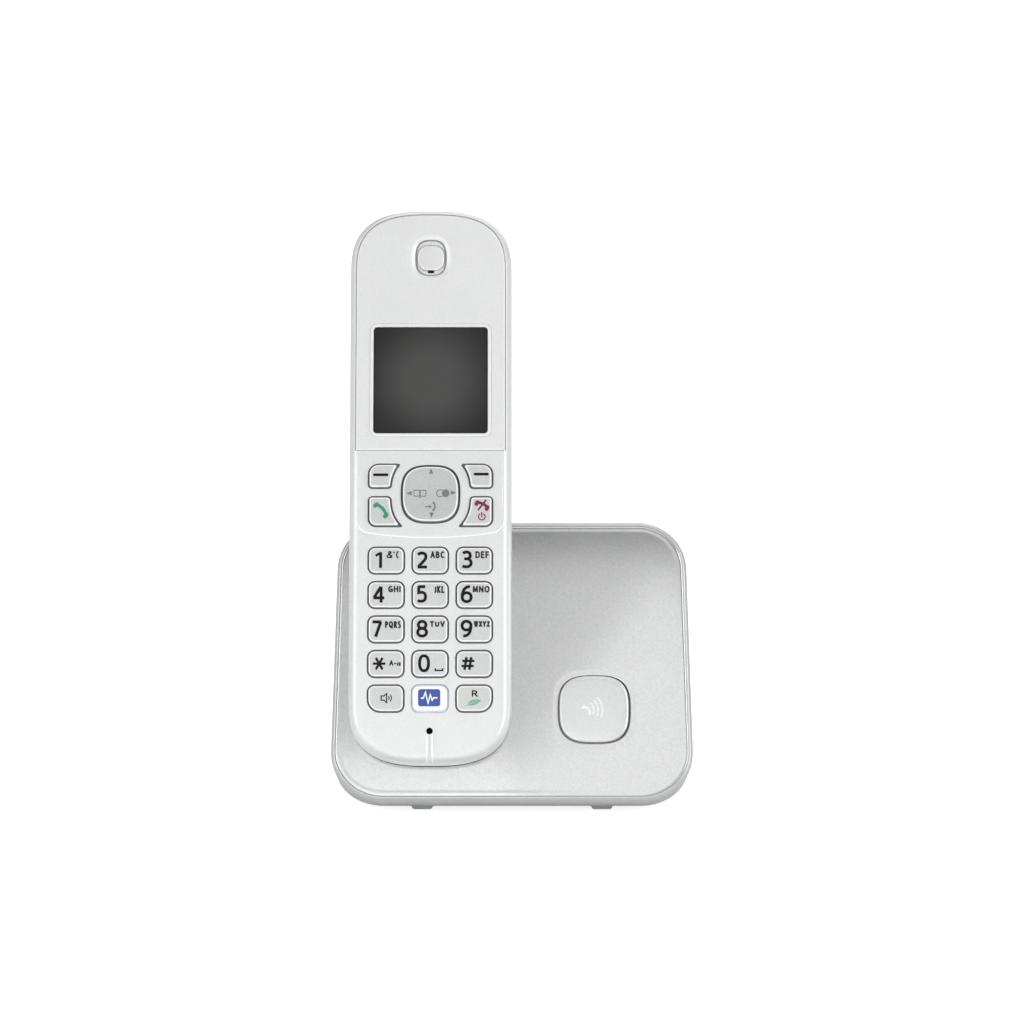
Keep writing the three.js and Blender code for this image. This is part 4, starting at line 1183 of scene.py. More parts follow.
def housing_skin(levels, profile, inset0, fillet_r):
    """Rings down the rim, walls back to the wedge, a rounded edge, and the wedge itself as a ladder of level strips."""
    s = Shape()
    rings = []
    for pts, z in levels:
        rings.append(ring3(pts, z))
    n = len(rings[0])
    base = levels[-1][0]
    edge = back_z(base[:, 1], profile) + fillet_r
    z0 = rings[-1][:, 2]
    for k in (0.08, 0.3, 0.6, 0.85, 1.0):
        rings.append(np.column_stack([base, z0 + (edge - z0) * k]))
    for a in np.radians([15, 30, 45, 60, 75, 90]):
        d = fillet_r * (1 - math.cos(a))
        p = base_ring(inset0 + d)
        rings.append(np.column_stack([p, back_z(p[:, 1], profile) + fillet_r * (1 - math.sin(a))]))
    at = [s.add(r) for r in rings]
    for i in range(len(at) - 1):
        s.strip(at[i + 1], at[i], n)
    # ladder: each vertex on the left has its mirror on the right
    last = rings[-1]
    mirror = {}
    for j in range(n):
        d = np.hypot(last[:, 0] + last[j, 0], last[:, 1] - last[j, 1])
        mirror[j] = int(np.argmin(d))
    foot = [j for j in range(n) if abs(last[j, 1] - last[:, 1].min()) < 1e-6]
    head = [j for j in range(n) if abs(last[j, 1] - last[:, 1].max()) < 1e-6]
    right = [j for j in range(n) if last[j, 0] > 0]
    right = [j for j in right if j not in foot and j not in head]
    right.sort(key=lambda j: last[j, 1])
    f_right, f_left = max(foot, key=lambda j: last[j, 0]), min(foot, key=lambda j: last[j, 0])
    h_right, h_left = max(head, key=lambda j: last[j, 0]), min(head, key=lambda j: last[j, 0])
    o = at[-1]
    first = right[0]
    foot_sorted = sorted(foot, key=lambda j: last[j, 0])
    head_sorted = sorted(head, key=lambda j: last[j, 0])
    s.face([o + mirror[first]] + [o + j for j in foot_sorted] + [o + first])
    for a, b in zip(right, right[1:]):
        s.face((o + mirror[a], o + a, o + b, o + mirror[b]))
    lastr = right[-1]
    s.face([o + mirror[lastr], o + lastr] + [o + j for j in head_sorted[::-1]])
    s.f = [f[::-1] if i >= (len(at) - 1) * n else f for i, f in enumerate(s.f)]
    return s, at[0], n


trough_in = loft(
    [(trough_ring(d), z) for z, d in CRADLE_FINE]
    + [
        (trough_ring(0.30), -0.34),
        (trough_ring(0.22), -0.17),
        (trough_ring(0.08), -0.05),
        (trough_ring(-0.12), 0.012),
        (trough_ring(-0.15), 4.0),
    ]
)
trough_out = loft([(trough_ring(d - 1.9), z - 2.0 if z < -12 else z) for z, d in CRADLE_FINE[::2]] + [(trough_ring(-1.9), -0.75)])
cavity, c0, cn = housing_skin([(base_ring(2.4, 3.0), -0.3), (base_ring(2.4, 3.0), -3.6)], wedge_profile(2.4), 2.4, 0.8)
cavity.face([c0 + j for j in range(cn)])
trough_out = csg(trough_out, ("&", cavity))

plate = loft(
    [
        (base_ring(1.40, 2.15), -2.2),
        (base_ring(1.40, 2.13), -0.21),
        (base_ring(1.46, 2.16), -0.14),
        (base_ring(1.56, 2.23), -0.085),
        (base_ring(1.70, 2.36), -0.045),
        (base_ring(1.90, 2.70), -0.026),
        (base_ring(2.15, 2.97), -0.024),
        (base_ring(2.50, 3.36), -0.036),
        (base_ring(2.90, 3.78), -0.046),
        (base_ring(3.2, 4.1), -0.05),
    ]
)
BTN_LO, BTN_HI = plate_box("locator_button")
BTN_X, BTN_Y = (BTN_LO[0] + BTN_HI[0]) / 2, (BTN_LO[1] + BTN_HI[1]) / 2
BTN_A, BTN_B = (BTN_HI[0] - BTN_LO[0]) / 2 - 0.9, (BTN_HI[1] - BTN_LO[1]) / 2 - 0.9


def button_outline(d, n=3.0, dy=None, off=0.0):
    return superellipse(BTN_X + off, BTN_Y - off * 0.6, BTN_A - d, BTN_B - (d if dy is None else dy), n, 120)


button_cut = loft(
    [
        (button_outline(-0.48, dy=-0.32, off=0.13), -8.0),
        (button_outline(-0.48, dy=-0.32, off=0.13), -0.16),
        (button_outline(-0.52, dy=-0.36, off=0.13), -0.105),
        (button_outline(-0.62, dy=-0.46, off=0.13), -0.078),
        (button_outline(-0.80, dy=-0.66), -0.072),
        (button_outline(-1.70, dy=-1.62), -0.070),
        (button_outline(-1.90, dy=-1.82), -0.052),
        (button_outline(-2.05, dy=-1.98), -0.046),
        (button_outline(-2.10, dy=-2.03), 0.5),
    ]
)
CON = []
slots = Shape()
for name in ("charge_contact_left", "charge_contact_right"):
    lo, hi = plate_box(name)
    cx = (lo[0] + hi[0]) / 2
    CON.append(cx)
    slots.join(block(cx - 1.9, cx + 1.9, HY - 3, HY + 6, -7.0, -3.2))
plate = csg(plate, ("+", trough_out), ("-", trough_in), ("-", button_cut), ("-", slots))
make("base_front_plate", plate, [M_SILVER, M_HOLE_SHADE_MIC_BLACK], "base", ["base_front_cover"], "plate")

# the flange and skirt, seen down the gap round the button, take a grey painted shade
button = loft(
    [
        (button_outline(-0.9), BTN_LO[2]),
        (button_outline(-0.9), BTN_LO[2] + 0.85),
        (button_outline(-0.29, dy=-0.17), BTN_LO[2] + 0.86),
        (button_outline(-0.29, dy=-0.17), -1.22),
        (button_outline(0.0), -1.2),
        (button_outline(0.0), 0.26),
        (button_outline(0.05), 0.41),
        (button_outline(0.17), 0.54),
        (button_outline(0.36), 0.64),
        (button_outline(0.62), 0.705),
        (button_outline(1.1), 0.75),
        (button_outline(2.2, 2.9), 0.80),
        (button_outline(4.2, 2.7), 0.85),
        (button_outline(6.4, 2.4), 0.885),
        (button_outline(8.4, 2.2), 0.90),
    ],
    [2, 2, 2, 2, 0, 0, 0, 0, 0, 0, 0, 0, 0, 0, 0],
)
make("locator_cap", button, [M_BUTTON, M_BUTTON, M_KEY_WALL_SHADE], "locator_button", ["locator_button"], "plate")

outer_levels = [
    (base_ring(1.31, 2.06), -0.17),
    (base_ring(1.20, 1.95), -0.105),
    (base_ring(1.0, 1.76), -0.10),
    (base_ring(0.80, 1.52), -0.20),
    (base_ring(0.56, 1.22), -0.42),
    (base_ring(0.36, 0.94), -0.74),
    (base_ring(0.19, 0.66), -1.2),
    (base_ring(0.08, 0.38), -1.8),
    (base_ring(0.02, 0.16), -2.7),
    (base_ring(0.0, 0.0), -4.2),
]
inner_levels = [
    (base_ring(2.2), -2.66),
    (base_ring(2.2), -3.6),
]
outer, o0, nn = housing_skin(outer_levels, WEDGE, 0.0, 1.6)
inner, i0, _ = housing_skin(inner_levels, WEDGE_IN, 2.2, 0.8)
inner.f = [f[::-1] for f in inner.f]
housing = Shape()
housing.join(outer)
off = len(housing.v)
housing.join(inner)
# the rim's inner wall and the ledge under the plate
w1 = housing.add(ring3(base_ring(1.35, 2.1), -0.24))
w2 = housing.add(ring3(base_ring(1.35, 2.1), -2.65))
housing.strip(o0, w1, nn)
housing.strip(w1, w2, nn)
housing.strip(w2, off + i0, nn)

# ---------------------------------------------------------------- legends: thin raised print on the keys
def ribbon(points, width, ends="butt"):
    """The outline of a stroke along points. width may change along it."""
    p = np.asarray(points, float)
    n = len(p)
    w = np.full(n, float(width)) if np.isscalar(width) else np.asarray(width, float)
    seg = np.diff(p, axis=0)
    seg = seg / np.hypot(*seg.T)[:, None]
    nor = np.column_stack([-seg[:, 1], seg[:, 0]])
    vn = np.vstack([nor[:1], nor[:-1] + nor[1:], nor[-1:]])
    vn = vn / np.hypot(*vn.T)[:, None]
    cosh = np.ones(n)
    cosh[1:-1] = np.clip(np.sum(vn[1:-1] * nor[:-1], axis=1), 0.35, 1)
    off = vn * (w / 2 / cosh)[:, None]
    left, right = p + off, p - off
    if ends == "butt":
        return np.vstack([right, left[::-1]])
    out = []
    for c, d, ww in ((p[-1], seg[-1], w[-1]), (p[0], -seg[0], w[0])):
        a = math.atan2(d[1], d[0])
        t = np.linspace(a - math.pi / 2, a + math.pi / 2, 11)[1:-1]
        out.append(np.column_stack([c[0] + ww / 2 * np.cos(t), c[1] + ww / 2 * np.sin(t)]))
    return np.vstack([right, out[0], left[::-1], out[1]])


def bez(*pts, n=14):
    """A Bezier curve through its control points."""
    p = np.asarray(pts, float)
    t = np.linspace(0, 1, n)[:, None]
    k = len(p) - 1
    return sum(math.comb(k, i) * (1 - t) ** (k - i) * t**i * p[i] for i in range(k + 1))


def oval(cx, cy, a, b, n=2.2, count=44):
    return superellipse(cx, cy, a, b, n, count)


LZ0, LZ1 = -0.06, 0.022  # below and above the face it is printed on


def ink(outline, holes_=()):
    s = prism(outline, LZ0, LZ1)
    for h in holes_:
        s = csg(s, ("-", prism(h, LZ0 - 0.2, LZ1 + 0.2)))
    return s


def joined(shapes):
    s = shapes[0]
    for t in shapes[1:]:
        s = csg(s, ("+", t))
    return s


def digit(ch, sw=0.74):
    """Strokes of a numeral in a unit box, each (points, closed)."""
    if ch == "1":
        return [([(1.0, -0.06), (1.0, 1.06)], 0), ([(-0.10, 0.80), (1.0, 1.02)], 0)]
    if ch == "2":
        return [
            (
                np.vstack(
                    [
                        bez((0.03, 0.87), (0.18, 0.98), (0.33, 1.0), (0.46, 1.0), n=8),
                        bez((0.46, 1.0), (0.80, 1.0), (0.93, 0.88), (0.93, 0.73), n=10)[1:],
                        bez((0.93, 0.73), (0.93, 0.54), (0.55, 0.36), (0.08, 0.03), n=12)[1:],
                    ]
                ),
                0,
            ),
            ([(-0.02, 0.0), (1.06, 0.0)], 0),
        ]
    if ch == "3":
        return [
            (
                np.vstack(
                    [
                        bez((0.04, 0.92), (0.2, 1.0), (0.34, 1.01), (0.46, 1.01), n=8),
                        bez((0.46, 1.01), (0.78, 1.01), (0.90, 0.9), (0.90, 0.77), n=9)[1:],
                        bez((0.90, 0.77), (0.90, 0.62), (0.70, 0.54), (0.42, 0.54), n=9)[1:],
                    ]
                ),
                0,
            ),
            (
                np.vstack(
                    [
                        bez((0.18, 0.54), (0.42, 0.54), n=3),
                        bez((0.42, 0.54), (0.80, 0.54), (1.0, 0.43), (1.0, 0.27), n=10)[1:],
                        bez((1.0, 0.27), (1.0, 0.07), (0.72, -0.01), (0.42, -0.01), n=10)[1:],
                        bez((0.42, -0.01), (0.25, -0.01), (0.10, 0.01), (-0.02, 0.06), n=7)[1:],
                    ]
                ),
                0,
            ),
        ]
    if ch == "4":
        return [([(0.74, -0.06), (0.74, 1.03)], 0), ([(0.72, 1.02), (0.02, 0.28)], 0), ([(-0.06, 0.26), (1.07, 0.26)], 0)]
    if ch == "5":
        return [
            ([(0.14, 1.0), (0.96, 1.0)], 0),
            (
                np.vstack(
                    [
                        [(0.14, 1.06), (0.12, 0.60)],
                        bez((0.12, 0.58), (0.55, 0.66), (1.0, 0.60), (1.0, 0.30), n=13),
                        bez((1.0, 0.30), (1.0, 0.08), (0.74, -0.01), (0.42, -0.01), n=10)[1:],
                        bez((0.42, -0.01), (0.25, -0.01), (0.12, 0.01), (0.0, 0.05), n=7)[1:],
                    ]
                ),
                0,
            ),
        ]
    if ch in "69":
        s = [
            (oval(0.51, 0.29, 0.49, 0.30, 2.15), 1),
            (np.vstack([bez((0.88, 0.99), (0.45, 1.05), (0.02, 0.80), (0.02, 0.30), n=16)]), 0),
        ]
        if ch == "9":
            s = [(1 - np.asarray(p), c) for p, c in s]
        return s
    if ch == "7":
        return [([(-0.07, 1.0), (1.05, 1.0)], 0), ([(0.98, 1.0), (0.33, -0.06)], 0)]
    if ch == "8":
        return [(oval(0.5, 0.765, 0.43, 0.24, 2.1), 1), (oval(0.5, 0.255, 0.50, 0.265, 2.1), 1)]
    if ch == "0":
        return [(oval(0.5, 0.5, 0.5, 0.51, 2.35, 56), 1)]


def digit_shape(ch, box, sw=0.85):
    x0, y0, x1, y1 = box[0] - 0.08, box[1] - 0.08, box[2] + 0.08, box[3] + 0.08
    bx, by, bw, bh = x0 + sw / 2, y0 + sw / 2, x1 - x0 - sw, y1 - y0 - sw
    out = []
    for pts, closed in digit(ch):
        p = np.asarray(pts, float) * [bw, bh] + [bx, by]
        if closed:
            c = p.mean(0)
            q = np.vstack([p, p[:1]])
            d = np.roll(p, -1, 0) - np.roll(p, 1, 0)
            nn = np.column_stack([d[:, 1], -d[:, 0]]) / np.hypot(*d.T)[:, None]
            if np.sum((p[0] - c) * nn[0]) < 0:
                nn = -nn
            outer, inner = p + nn * sw / 2, p - nn * sw / 2
            out.append(ink(outer, [inner]))
        else:
            out.append(ink(ribbon(p, sw * 0.8 if ch == "1" and p[0, 0] < p[-1, 0] - 0.1 else sw)))
    return joined(out)


def bowl(x0, x1, y0, y1, n=13):
    """A half-round from (x0, y0) out to x1 and back to (x0, y1)."""
    t = np.radians(np.linspace(-90, 90, n))
    m = x0 + (x1 - x0) * 0.35
    arc_ = np.column_stack([m + (x1 - m) * np.cos(t), (y0 + y1) / 2 + (y1 - y0) / 2 * np.sin(t)])
    return np.vstack([[(x0, y0)], arc_, [(x0, y1)]])


def ring_arc(a0, a1, cx=0.5, cy=0.5, rx=0.5, ry=0.5, n=19):
    t = np.radians(np.linspace(a0, a1, n))
    return np.column_stack([cx + rx * np.cos(t), cy + ry * np.sin(t)])


LETTER = {  # width, strokes in a unit box
    "A": (0.92, [[(0, 0), (0.5, 1.0)], [(1, 0), (0.5, 1.0)], [(0.18, 0.33), (0.82, 0.33)]]),
    "B": (0.68, [[(0, 0), (0, 1)], bowl(0, 0.86, 0.53, 1), bowl(0, 1.0, 0, 0.53)]),
    "C": (0.82, [ring_arc(48, 312, 0.58, 0.5, 0.58, 0.5)]),
    "D": (0.86, [[(0, 0), (0, 1)], bowl(0, 1.0, 0, 1, 17)]),
    "E": (0.60, [[(0, 0), (0, 1)], [(0, 1), (1, 1)], [(0, 0.52), (0.88, 0.52)], [(0, 0), (1, 0)]]),
    "F": (0.56, [[(0, 0), (0, 1)], [(0, 1), (1, 1)], [(0, 0.5), (0.9, 0.5)]]),
    "G": (0.88, [ring_arc(48, 350, 0.55, 0.5, 0.55, 0.5), [(0.55, 0.44), (1.06, 0.44)], [(1.0, 0.44), (1.0, 0.1)]]),
    "H": (0.82, [[(0, 0), (0, 1)], [(1, 0), (1, 1)], [(0, 0.52), (1, 0.52)]]),
    "I": (0.0, [[(0, 0), (0, 1)]]),
    "J": (0.56, [np.vstack([[(1.0, 1.0), (1.0, 0.3)], ring_arc(0, -115, 0.42, 0.24, 0.58, 0.26, 9)])]),
    "K": (0.74, [[(0, 0), (0, 1)], [(0.92, 1.0), (0.08, 0.48)], [(0.2, 0.55), (1, 0)]]),
    "L": (0.60, [[(0, 0), (0, 1)], [(0, 0), (1, 0)]]),
    "M": (1.05, [[(0, 0), (0.08, 1)], [(0.08, 1), (0.5, 0.12)], [(0.5, 0.12), (0.92, 1)], [(0.92, 1), (1, 0)]]),
    "N": (0.84, [[(0, 0), (0, 1)], [(0, 1), (1, 0)], [(1, 0), (1, 1)]]),
    "O": (0.98, ["O"]),
    "P": (0.62, [[(0, 0), (0, 1)], bowl(0, 1.0, 0.45, 1)]),
    "Q": (0.98, ["O", [(0.58, 0.24), (1.0, -0.12)]]),
    "R": (0.68, [[(0, 0), (0, 1)], bowl(0, 0.92, 0.48, 1), [(0.45, 0.5), (1, 0)]]),
    "S": (0.60, [np.vstack([bez((0.92, 0.92), (0.3, 1.14), (0.0, 0.92), (0.04, 0.72), n=9), bez((0.04, 0.72), (0.08, 0.52), (0.98, 0.55), (0.98, 0.26), n=9)[1:], bez((0.98, 0.26), (0.98, -0.06), (0.4, -0.12), (0.02, 0.09), n=9)[1:]])]),
    "T": (0.80, [[(0, 1), (1, 1)], [(0.5, 0), (0.5, 1)]]),
    "U": (0.80, [np.vstack([[(0, 1)], ring_arc(180, 360, 0.5, 0.4, 0.5, 0.4, 15), [(1, 1)]])]),
    "V": (0.88, [[(0, 1), (0.5, 0)], [(1, 1), (0.5, 0)]]),
    "W": (1.25, [[(0, 1), (0.26, 0)], [(0.26, 0), (0.5, 1)], [(0.5, 1), (0.74, 0)], [(0.74, 0), (1, 1)]]),
    "X": (0.80, [[(0, 0), (1, 1)], [(0, 1), (1, 0)]]),
    "Y": (0.80, [[(0, 1), (0.5, 0.45)], [(1, 1), (0.5, 0.45)], [(0.5, 0.5), (0.5, 0)]]),
    "Z": (0.74, [[(0, 1), (1, 1)], [(1, 1), (0, 0)], [(0, 0), (1, 0)]]),
}


def longer(p, by):
    """A straight stroke drawn out by a little at both ends, so that strokes meet squarely."""
    p = np.asarray(p, float)
    if len(p) != 2:
        return p
    u = (p[1] - p[0]) / np.hypot(*(p[1] - p[0]))
    return np.array([p[0] - u * by, p[1] + u * by])


def text_shape(text, box, sw=0.45, gap=0.20):
    """Plain capitals drawn with strokes, fitted to a box."""
    x0, y0, x1, y1 = box
    h = y1 - y0 - sw
    units = sum(LETTER[c][0] for c in text) + gap * (len(text) - 1)
    k = (x1 - x0 - sw * len(text)) / units
    x, out = x0, Shape()
    for c in text:
        w, strokes = LETTER[c]
        bits = []
        for st in strokes:
            if isinstance(st, str):
                p = oval(x + sw / 2 + w * k / 2, y0 + sw / 2 + h / 2, w * k / 2 + sw / 2, h / 2 + sw / 2, 2.15, 40)
                q = oval(x + sw / 2 + w * k / 2, y0 + sw / 2 + h / 2, w * k / 2 - sw / 2, h / 2 - sw / 2, 2.1, 40)
                bits.append(ink(p, [q]))
            else:
                p = np.asarray(st, float) * [w * k, h] + [x + sw / 2, y0 + sw / 2]
                bits.append(ink(ribbon(longer(p, sw * 0.42), sw)))
        out.join(joined(bits))
        x += w * k + sw + gap * k
    return out


def on_face(shape, z):
    """Lift a legend onto a face: z is a height or a function of (x, y)."""
    v = np.asarray(shape.v, float)
    v[:, 2] += z(v[:, 0], v[:, 1]) if callable(z) else z
    shape.v = list(map(tuple, v))
    return shape


def legend(name, shape, mat, key, z):
    return make(name, on_face(shape, z), [mat], key, (), "handset", sharp=30, weighted=False)


DIGITS = {
    "1": (-15.65, 55.37, -13.68, 60.08),
    "2": (-3.83, 55.37, -0.64, 60.08),
    "3": (8.93, 55.47, 12.02, 60.32),
    "4": (-16.23, 45.46, -12.76, 50.33),
    "5": (-3.79, 45.62, -0.88, 50.43),
    "6": (8.78, 45.52, 12.04, 50.43),
    "7": (-16.40, 35.67, -13.50, 40.36),
    "8": (-3.76, 35.67, -0.58, 40.49),
    "9": (8.80, 35.67, 12.05, 40.49),
    "0": (-3.19, 25.80, 0.01, 30.65),
}
for ch, box in DIGITS.items():
    legend("digit_" + ch, digit_shape(ch, box), M_INK, "key_" + ch, KEY_TOP)
LETTERS = {
    "1": ("&'(", (-12.24, 58.23, -8.91, 60.25)),
    "2": ("ABC", (0.09, 58.23, 4.19, 60.25)),
    "3": ("DEF", (12.86, 58.23, 16.76, 60.25)),
    "4": ("GHI", (-11.86, 48.48, -8.27, 50.33)),
    "5": ("JKL", (0.95, 48.25, 4.16, 50.33)),
    "6": ("MNO", (12.11, 48.41, 16.93, 50.33)),
    "7": ("PQRS", (-12.71, 38.25, -8.16, 40.26)),
    "8": ("TUV", (-0.01, 38.58, 4.24, 40.26)),
    "9": ("WXYZ", (12.45, 38.58, 17.04, 40.26)),
}
for ch, (text, box) in LETTERS.items():
    if ch == "1":
        amp_ = joined(
            [
                ink(ribbon(np.vstack([bez((-10.75, 58.36), (-11.7, 59.4), (-12.0, 59.95), (-11.45, 60.1), n=9), bez((-11.45, 60.1), (-10.9, 60.1), (-11.0, 59.7), (-11.5, 59.4), n=7)[1:], bez((-11.5, 59.4), (-12.4, 58.95), (-12.2, 58.38), (-11.6, 58.4), n=9)[1:], bez((-11.6, 58.4), (-11.2, 58.42), (-10.95, 58.75), (-10.8, 59.2), n=7)[1:]]), 0.42)),
            ]
        )
        s = amp_.join(ink(ribbon([(-10.28, 60.2), (-10.22, 59.62)], 0.40)))
        s.join(ink(ribbon(bez((-8.98, 60.24), (-9.65, 59.6), (-9.65, 58.9), (-8.98, 58.24), n=9), 0.42)))
    else:
        s = text_shape(text, box)
    legend("letters_" + ch, s, M_INK_SMALL, "key_" + ch, KEY_TOP)

# star, hash, and the small marks beside star and zero
sx, sy, sa = -14.28, 28.12, 1.78
star = [ink(ribbon([(sx - sa, sy), (sx + sa, sy)], 0.68))]
for a in (60, 120):
    c_, s_ = math.cos(math.radians(a)), math.sin(math.radians(a))
    star.append(ink(ribbon([(sx - 1.92 * c_, sy - 1.92 * s_), (sx + 1.92 * c_, sy + 1.92 * s_)], 0.68)))
legend("mark_star", joined(star), M_INK, "key_star", KEY_TOP)
hx, hy = 10.81, 28.17
hash_ = []
for dx in (-0.68, 0.68):
    hash_.append(ink(ribbon([(hx + dx - 0.28, hy - 1.8), (hx + dx + 0.28, hy + 1.8)], 0.72)))
for dy in (-0.72, 0.72):
    hash_.append(ink(ribbon([(hx - 1.72 + dy * 0.14, hy + dy), (hx + 1.72 + dy * 0.14, hy + dy)], 0.68)))
legend("mark_hash", joined(hash_), M_INK, "key_hash", KEY_TOP)
small = text_shape("A", (-11.48, 27.52, -10.2, 29.06), 0.38)
small.join(ink(ribbon([(-10.08, 28.15), (-9.40, 28.15)], 0.36)))
little = ink(oval(-8.80, 27.98, 0.47, 0.48, 2.0, 24), [oval(-8.80, 27.98, 0.13, 0.15, 2.0, 20)])
small.join(joined([little, ink(ribbon([(-8.38, 28.50), (-8.38, 27.50)], 0.34))]))
legend("mark_case", small, M_INK_SMALL, "key_star", KEY_TOP)
space = ink(ribbon([(1.6, 26.8), (1.6, 26.2), (3.7, 26.2), (3.7, 26.8)], 0.42))
legend("mark_space", space, M_INK, "key_0", KEY_TOP)

# hands-free: a horn with sound lines
cx_, cy_ = -13.0, 18.33
horn = ink(
    np.array([(-13.85, 17.55), (-12.95, 17.55), (-11.95, 16.68), (-11.95, 19.98), (-12.95, 19.11), (-13.85, 19.11)]),
    [np.array([(-13.5, 17.9), (-12.81, 17.9), (-12.28, 17.42), (-12.28, 19.24), (-12.81, 18.76), (-13.5, 18.76)])],
)
s_horn = Shape().join(horn)
for x_, h_ in ((-11.42, 0.55), (-10.78, 0.95)):
    t_ = np.radians(np.linspace(-38, 38, 11))
    r_ = h_ / math.sin(math.radians(38))
    s_horn.join(ink(ribbon(np.column_stack([x_ - r_ + r_ * np.cos(t_), cy_ + r_ * np.sin(t_)]), 0.29)))
legend("mark_speaker", s_horn, M_INK_SMALL, "key_speaker", KEY_TOP)

# quiet-sound key: a blue label with a wave that dies away
bx0, by0, bx1, by1 = -3.26, 15.97, 3.03, 20.87
blue = prism(round_rect((bx0 + bx1) / 2, (by0 + by1) / 2, bx1 - bx0, by1 - by0, 0.75, 7), LZ0, 0.014)
bym = (by0 + by1) / 2
wave = np.array([(bx0 + 0.8, bym - 0.1), (bx0 + 1.5, bym - 0.1), (bx0 + 2.1, bym + 1.55), (bx0 + 2.85, bym - 1.55), (bx0 + 3.45, bym + 0.85), (bx0 + 4.0, bym - 0.65), (bx0 + 4.4, bym), (bx0 + 5.5, bym)])
wave_s = prism(ribbon(wave, 0.40), LZ0, 0.03)
blue_cut = csg(blue, ("-", prism(ribbon(wave, 0.40), -1, 1)))
legend("label_quiet", blue_cut, M_INK_BLUE, "key_noise", KEY_TOP)
legend("label_wave", wave_s, M_INK_WHITE, "key_noise", KEY_TOP)

# recall: R over a leaf
legend("letter_r", text_shape("R", (11.92, 18.66, 13.62, 20.58), 0.40), M_INK_SMALL, "key_recall", KEY_TOP)


def leaf(x0, y0, x1, y1, w):
    """A pointed leaf from stem to tip, slit along its midrib."""
    a, b = np.array([x0, y0]), np.array([x1, y1])
    t = np.linspace(0, 1, 17)
    mid_ = a + (b - a) * t[:, None]
    nv = np.array([-(b - a)[1], (b - a)[0]]) / np.hypot(*(b - a))
    half = w * np.sin(math.pi * t**0.8) ** 0.9
    half[0] = half[-1] = 0
    left_ = mid_ + nv * half[:, None]
    right_ = mid_ - nv * half[:, None]
    s = ink(np.vstack([right_, left_[-2:0:-1]]))
    return csg(s, ("-", prism(ribbon([a - (b - a) * 0.1, a + (b - a) * 0.72], [0.2, 0.08]), -1, 1)))


stem = ink(ribbon(bez((10.3, 16.2), (11.0, 16.5), (11.5, 16.8), n=6), [0.14, 0.18, 0.2, 0.2, 0.18, 0.14]))
lf = leaf(10.7, 16.6, 14.6, 17.75, 0.80)
legend("mark_leaf", joined([lf, stem]), M_INK_LEAF, "key_recall", KEY_TOP)

# ---- soft keys, talk and off
SIDE_TOP = {n: float(plate_box(n)[1][2]) for n in SIDE}
legend("dash_left", ink(ribbon([(-15.9, 82.26), (-12.3, 82.26)], 0.80, "round")), M_INK, "key_soft_left", SIDE_TOP["key_soft_left"])
legend("dash_right", ink(ribbon([(12.74, 82.46), (16.28, 82.46)], 0.78, "round")), M_INK, "key_soft_right", SIDE_TOP["key_soft_right"])


def receiver(a, b, bow, thick, ear, n=17):
    """A telephone receiver seen from the side, from ear end a to mouth end b, bowed to its left by bow."""
    a, b = np.array(a, float), np.array(b, float)
    d = b - a
    nv = np.array([-d[1], d[0]]) / np.hypot(*d)
    ctrl = (a + b) / 2 + nv * bow * 2
    p = bez(a, ctrl, b, n=n)
    body = ink(ribbon(p, thick, "round"))
    out = [body]
    for end, nxt in ((p[0], p[2]), (p[-1], p[-3])):
        u = (end - nxt) / np.hypot(*(end - nxt))
        inward = -nv
        c0 = end + u * (-0.12)
        c1 = c0 + inward * ear * 0.46 + u * 0.02
        out.append(ink(ribbon([c0 - inward * thick * 0.1, c1], ear, "round")))
    return joined(out)


talk = receiver((-15.35, 73.75), (-12.4, 70.55), 0.52, 0.92, 1.18)
legend("mark_talk", talk, M_INK_GREEN, "key_talk", SIDE_TOP["key_talk"])
off = receiver((13.3, 74.3), (16.35, 72.75), 0.40, 0.84, 1.12)
slash = ink(ribbon([(13.6, 72.05), (15.9, 75.0)], 0.52))
legend("mark_off", joined([off, slash]), M_INK_RED, "key_off", SIDE_TOP["key_off"])
px_, py_ = 14.68, 70.18
t_ = np.radians(np.linspace(122, 418, 33))
power = Shape().join(ink(ribbon(np.column_stack([px_ + 0.93 * np.cos(t_), py_ + 0.93 * np.sin(t_)]), 0.34, "round")))
power.join(ink(ribbon([(px_, 70.1), (px_, 71.4)], 0.34, "round")))
legend("mark_power", power, M_INK_RED, "key_off", SIDE_TOP["key_off"])

# ---- navigator
NA = NAV_A - 0.42


def nav_face(x, y):
    k = (np.abs((x - NAV_X) / NA) ** 2.9 + np.abs((y - NAV_Y) / NA) ** 2.9) ** (1 / 2.9)
    return NAV_TOP - 0.22 * (1 - np.clip(k, 0.2, 1) ** 2)


nav_marks = Shape()
for tri in (
    [(-0.42, 82.57), (0.86, 82.57), (0.22, 84.2)],
    [(0.39, 69.8), (1.03, 71.42), (-0.25, 71.42)],
    [(-6.86, 76.93), (-5.28, 76.32), (-5.28, 77.6)],
    [(7.46, 77.11), (5.86, 77.76), (5.86, 76.46)],
):
    nav_marks.join(ink(np.array(tri)))
book = []
for x0_, x1_ in ((-4.7, -2.92), (-2.92, -1.14)):
    o_ = round_rect((x0_ + x1_) / 2, 76.97, x1_ - x0_ + 0.06, 1.96, 0.3, 5)
    i_ = round_rect((x0_ + x1_) / 2, 76.97, x1_ - x0_ - 0.44, 1.42, 0.14, 5)
    book.append(ink(o_, [i_]))
book.append(ink(ribbon([(-3.2, 75.9), (-2.92, 75.72), (-2.64, 75.9)], 0.24)))
nav_marks.join(joined(book))
ring_ = ink(oval(2.86, 76.97, 1.2, 1.12, 2.0, 40), [oval(2.86, 76.97, 0.92, 0.85, 2.0, 40)])
disc_ = ink(oval(4.40, 76.97, 1.08, 1.12, 2.0, 40))
ring_ = csg(ring_, ("-", prism(oval(4.40, 76.97, 1.14, 1.18, 2.0, 40), -1, 1)))
nav_marks.join(ring_)
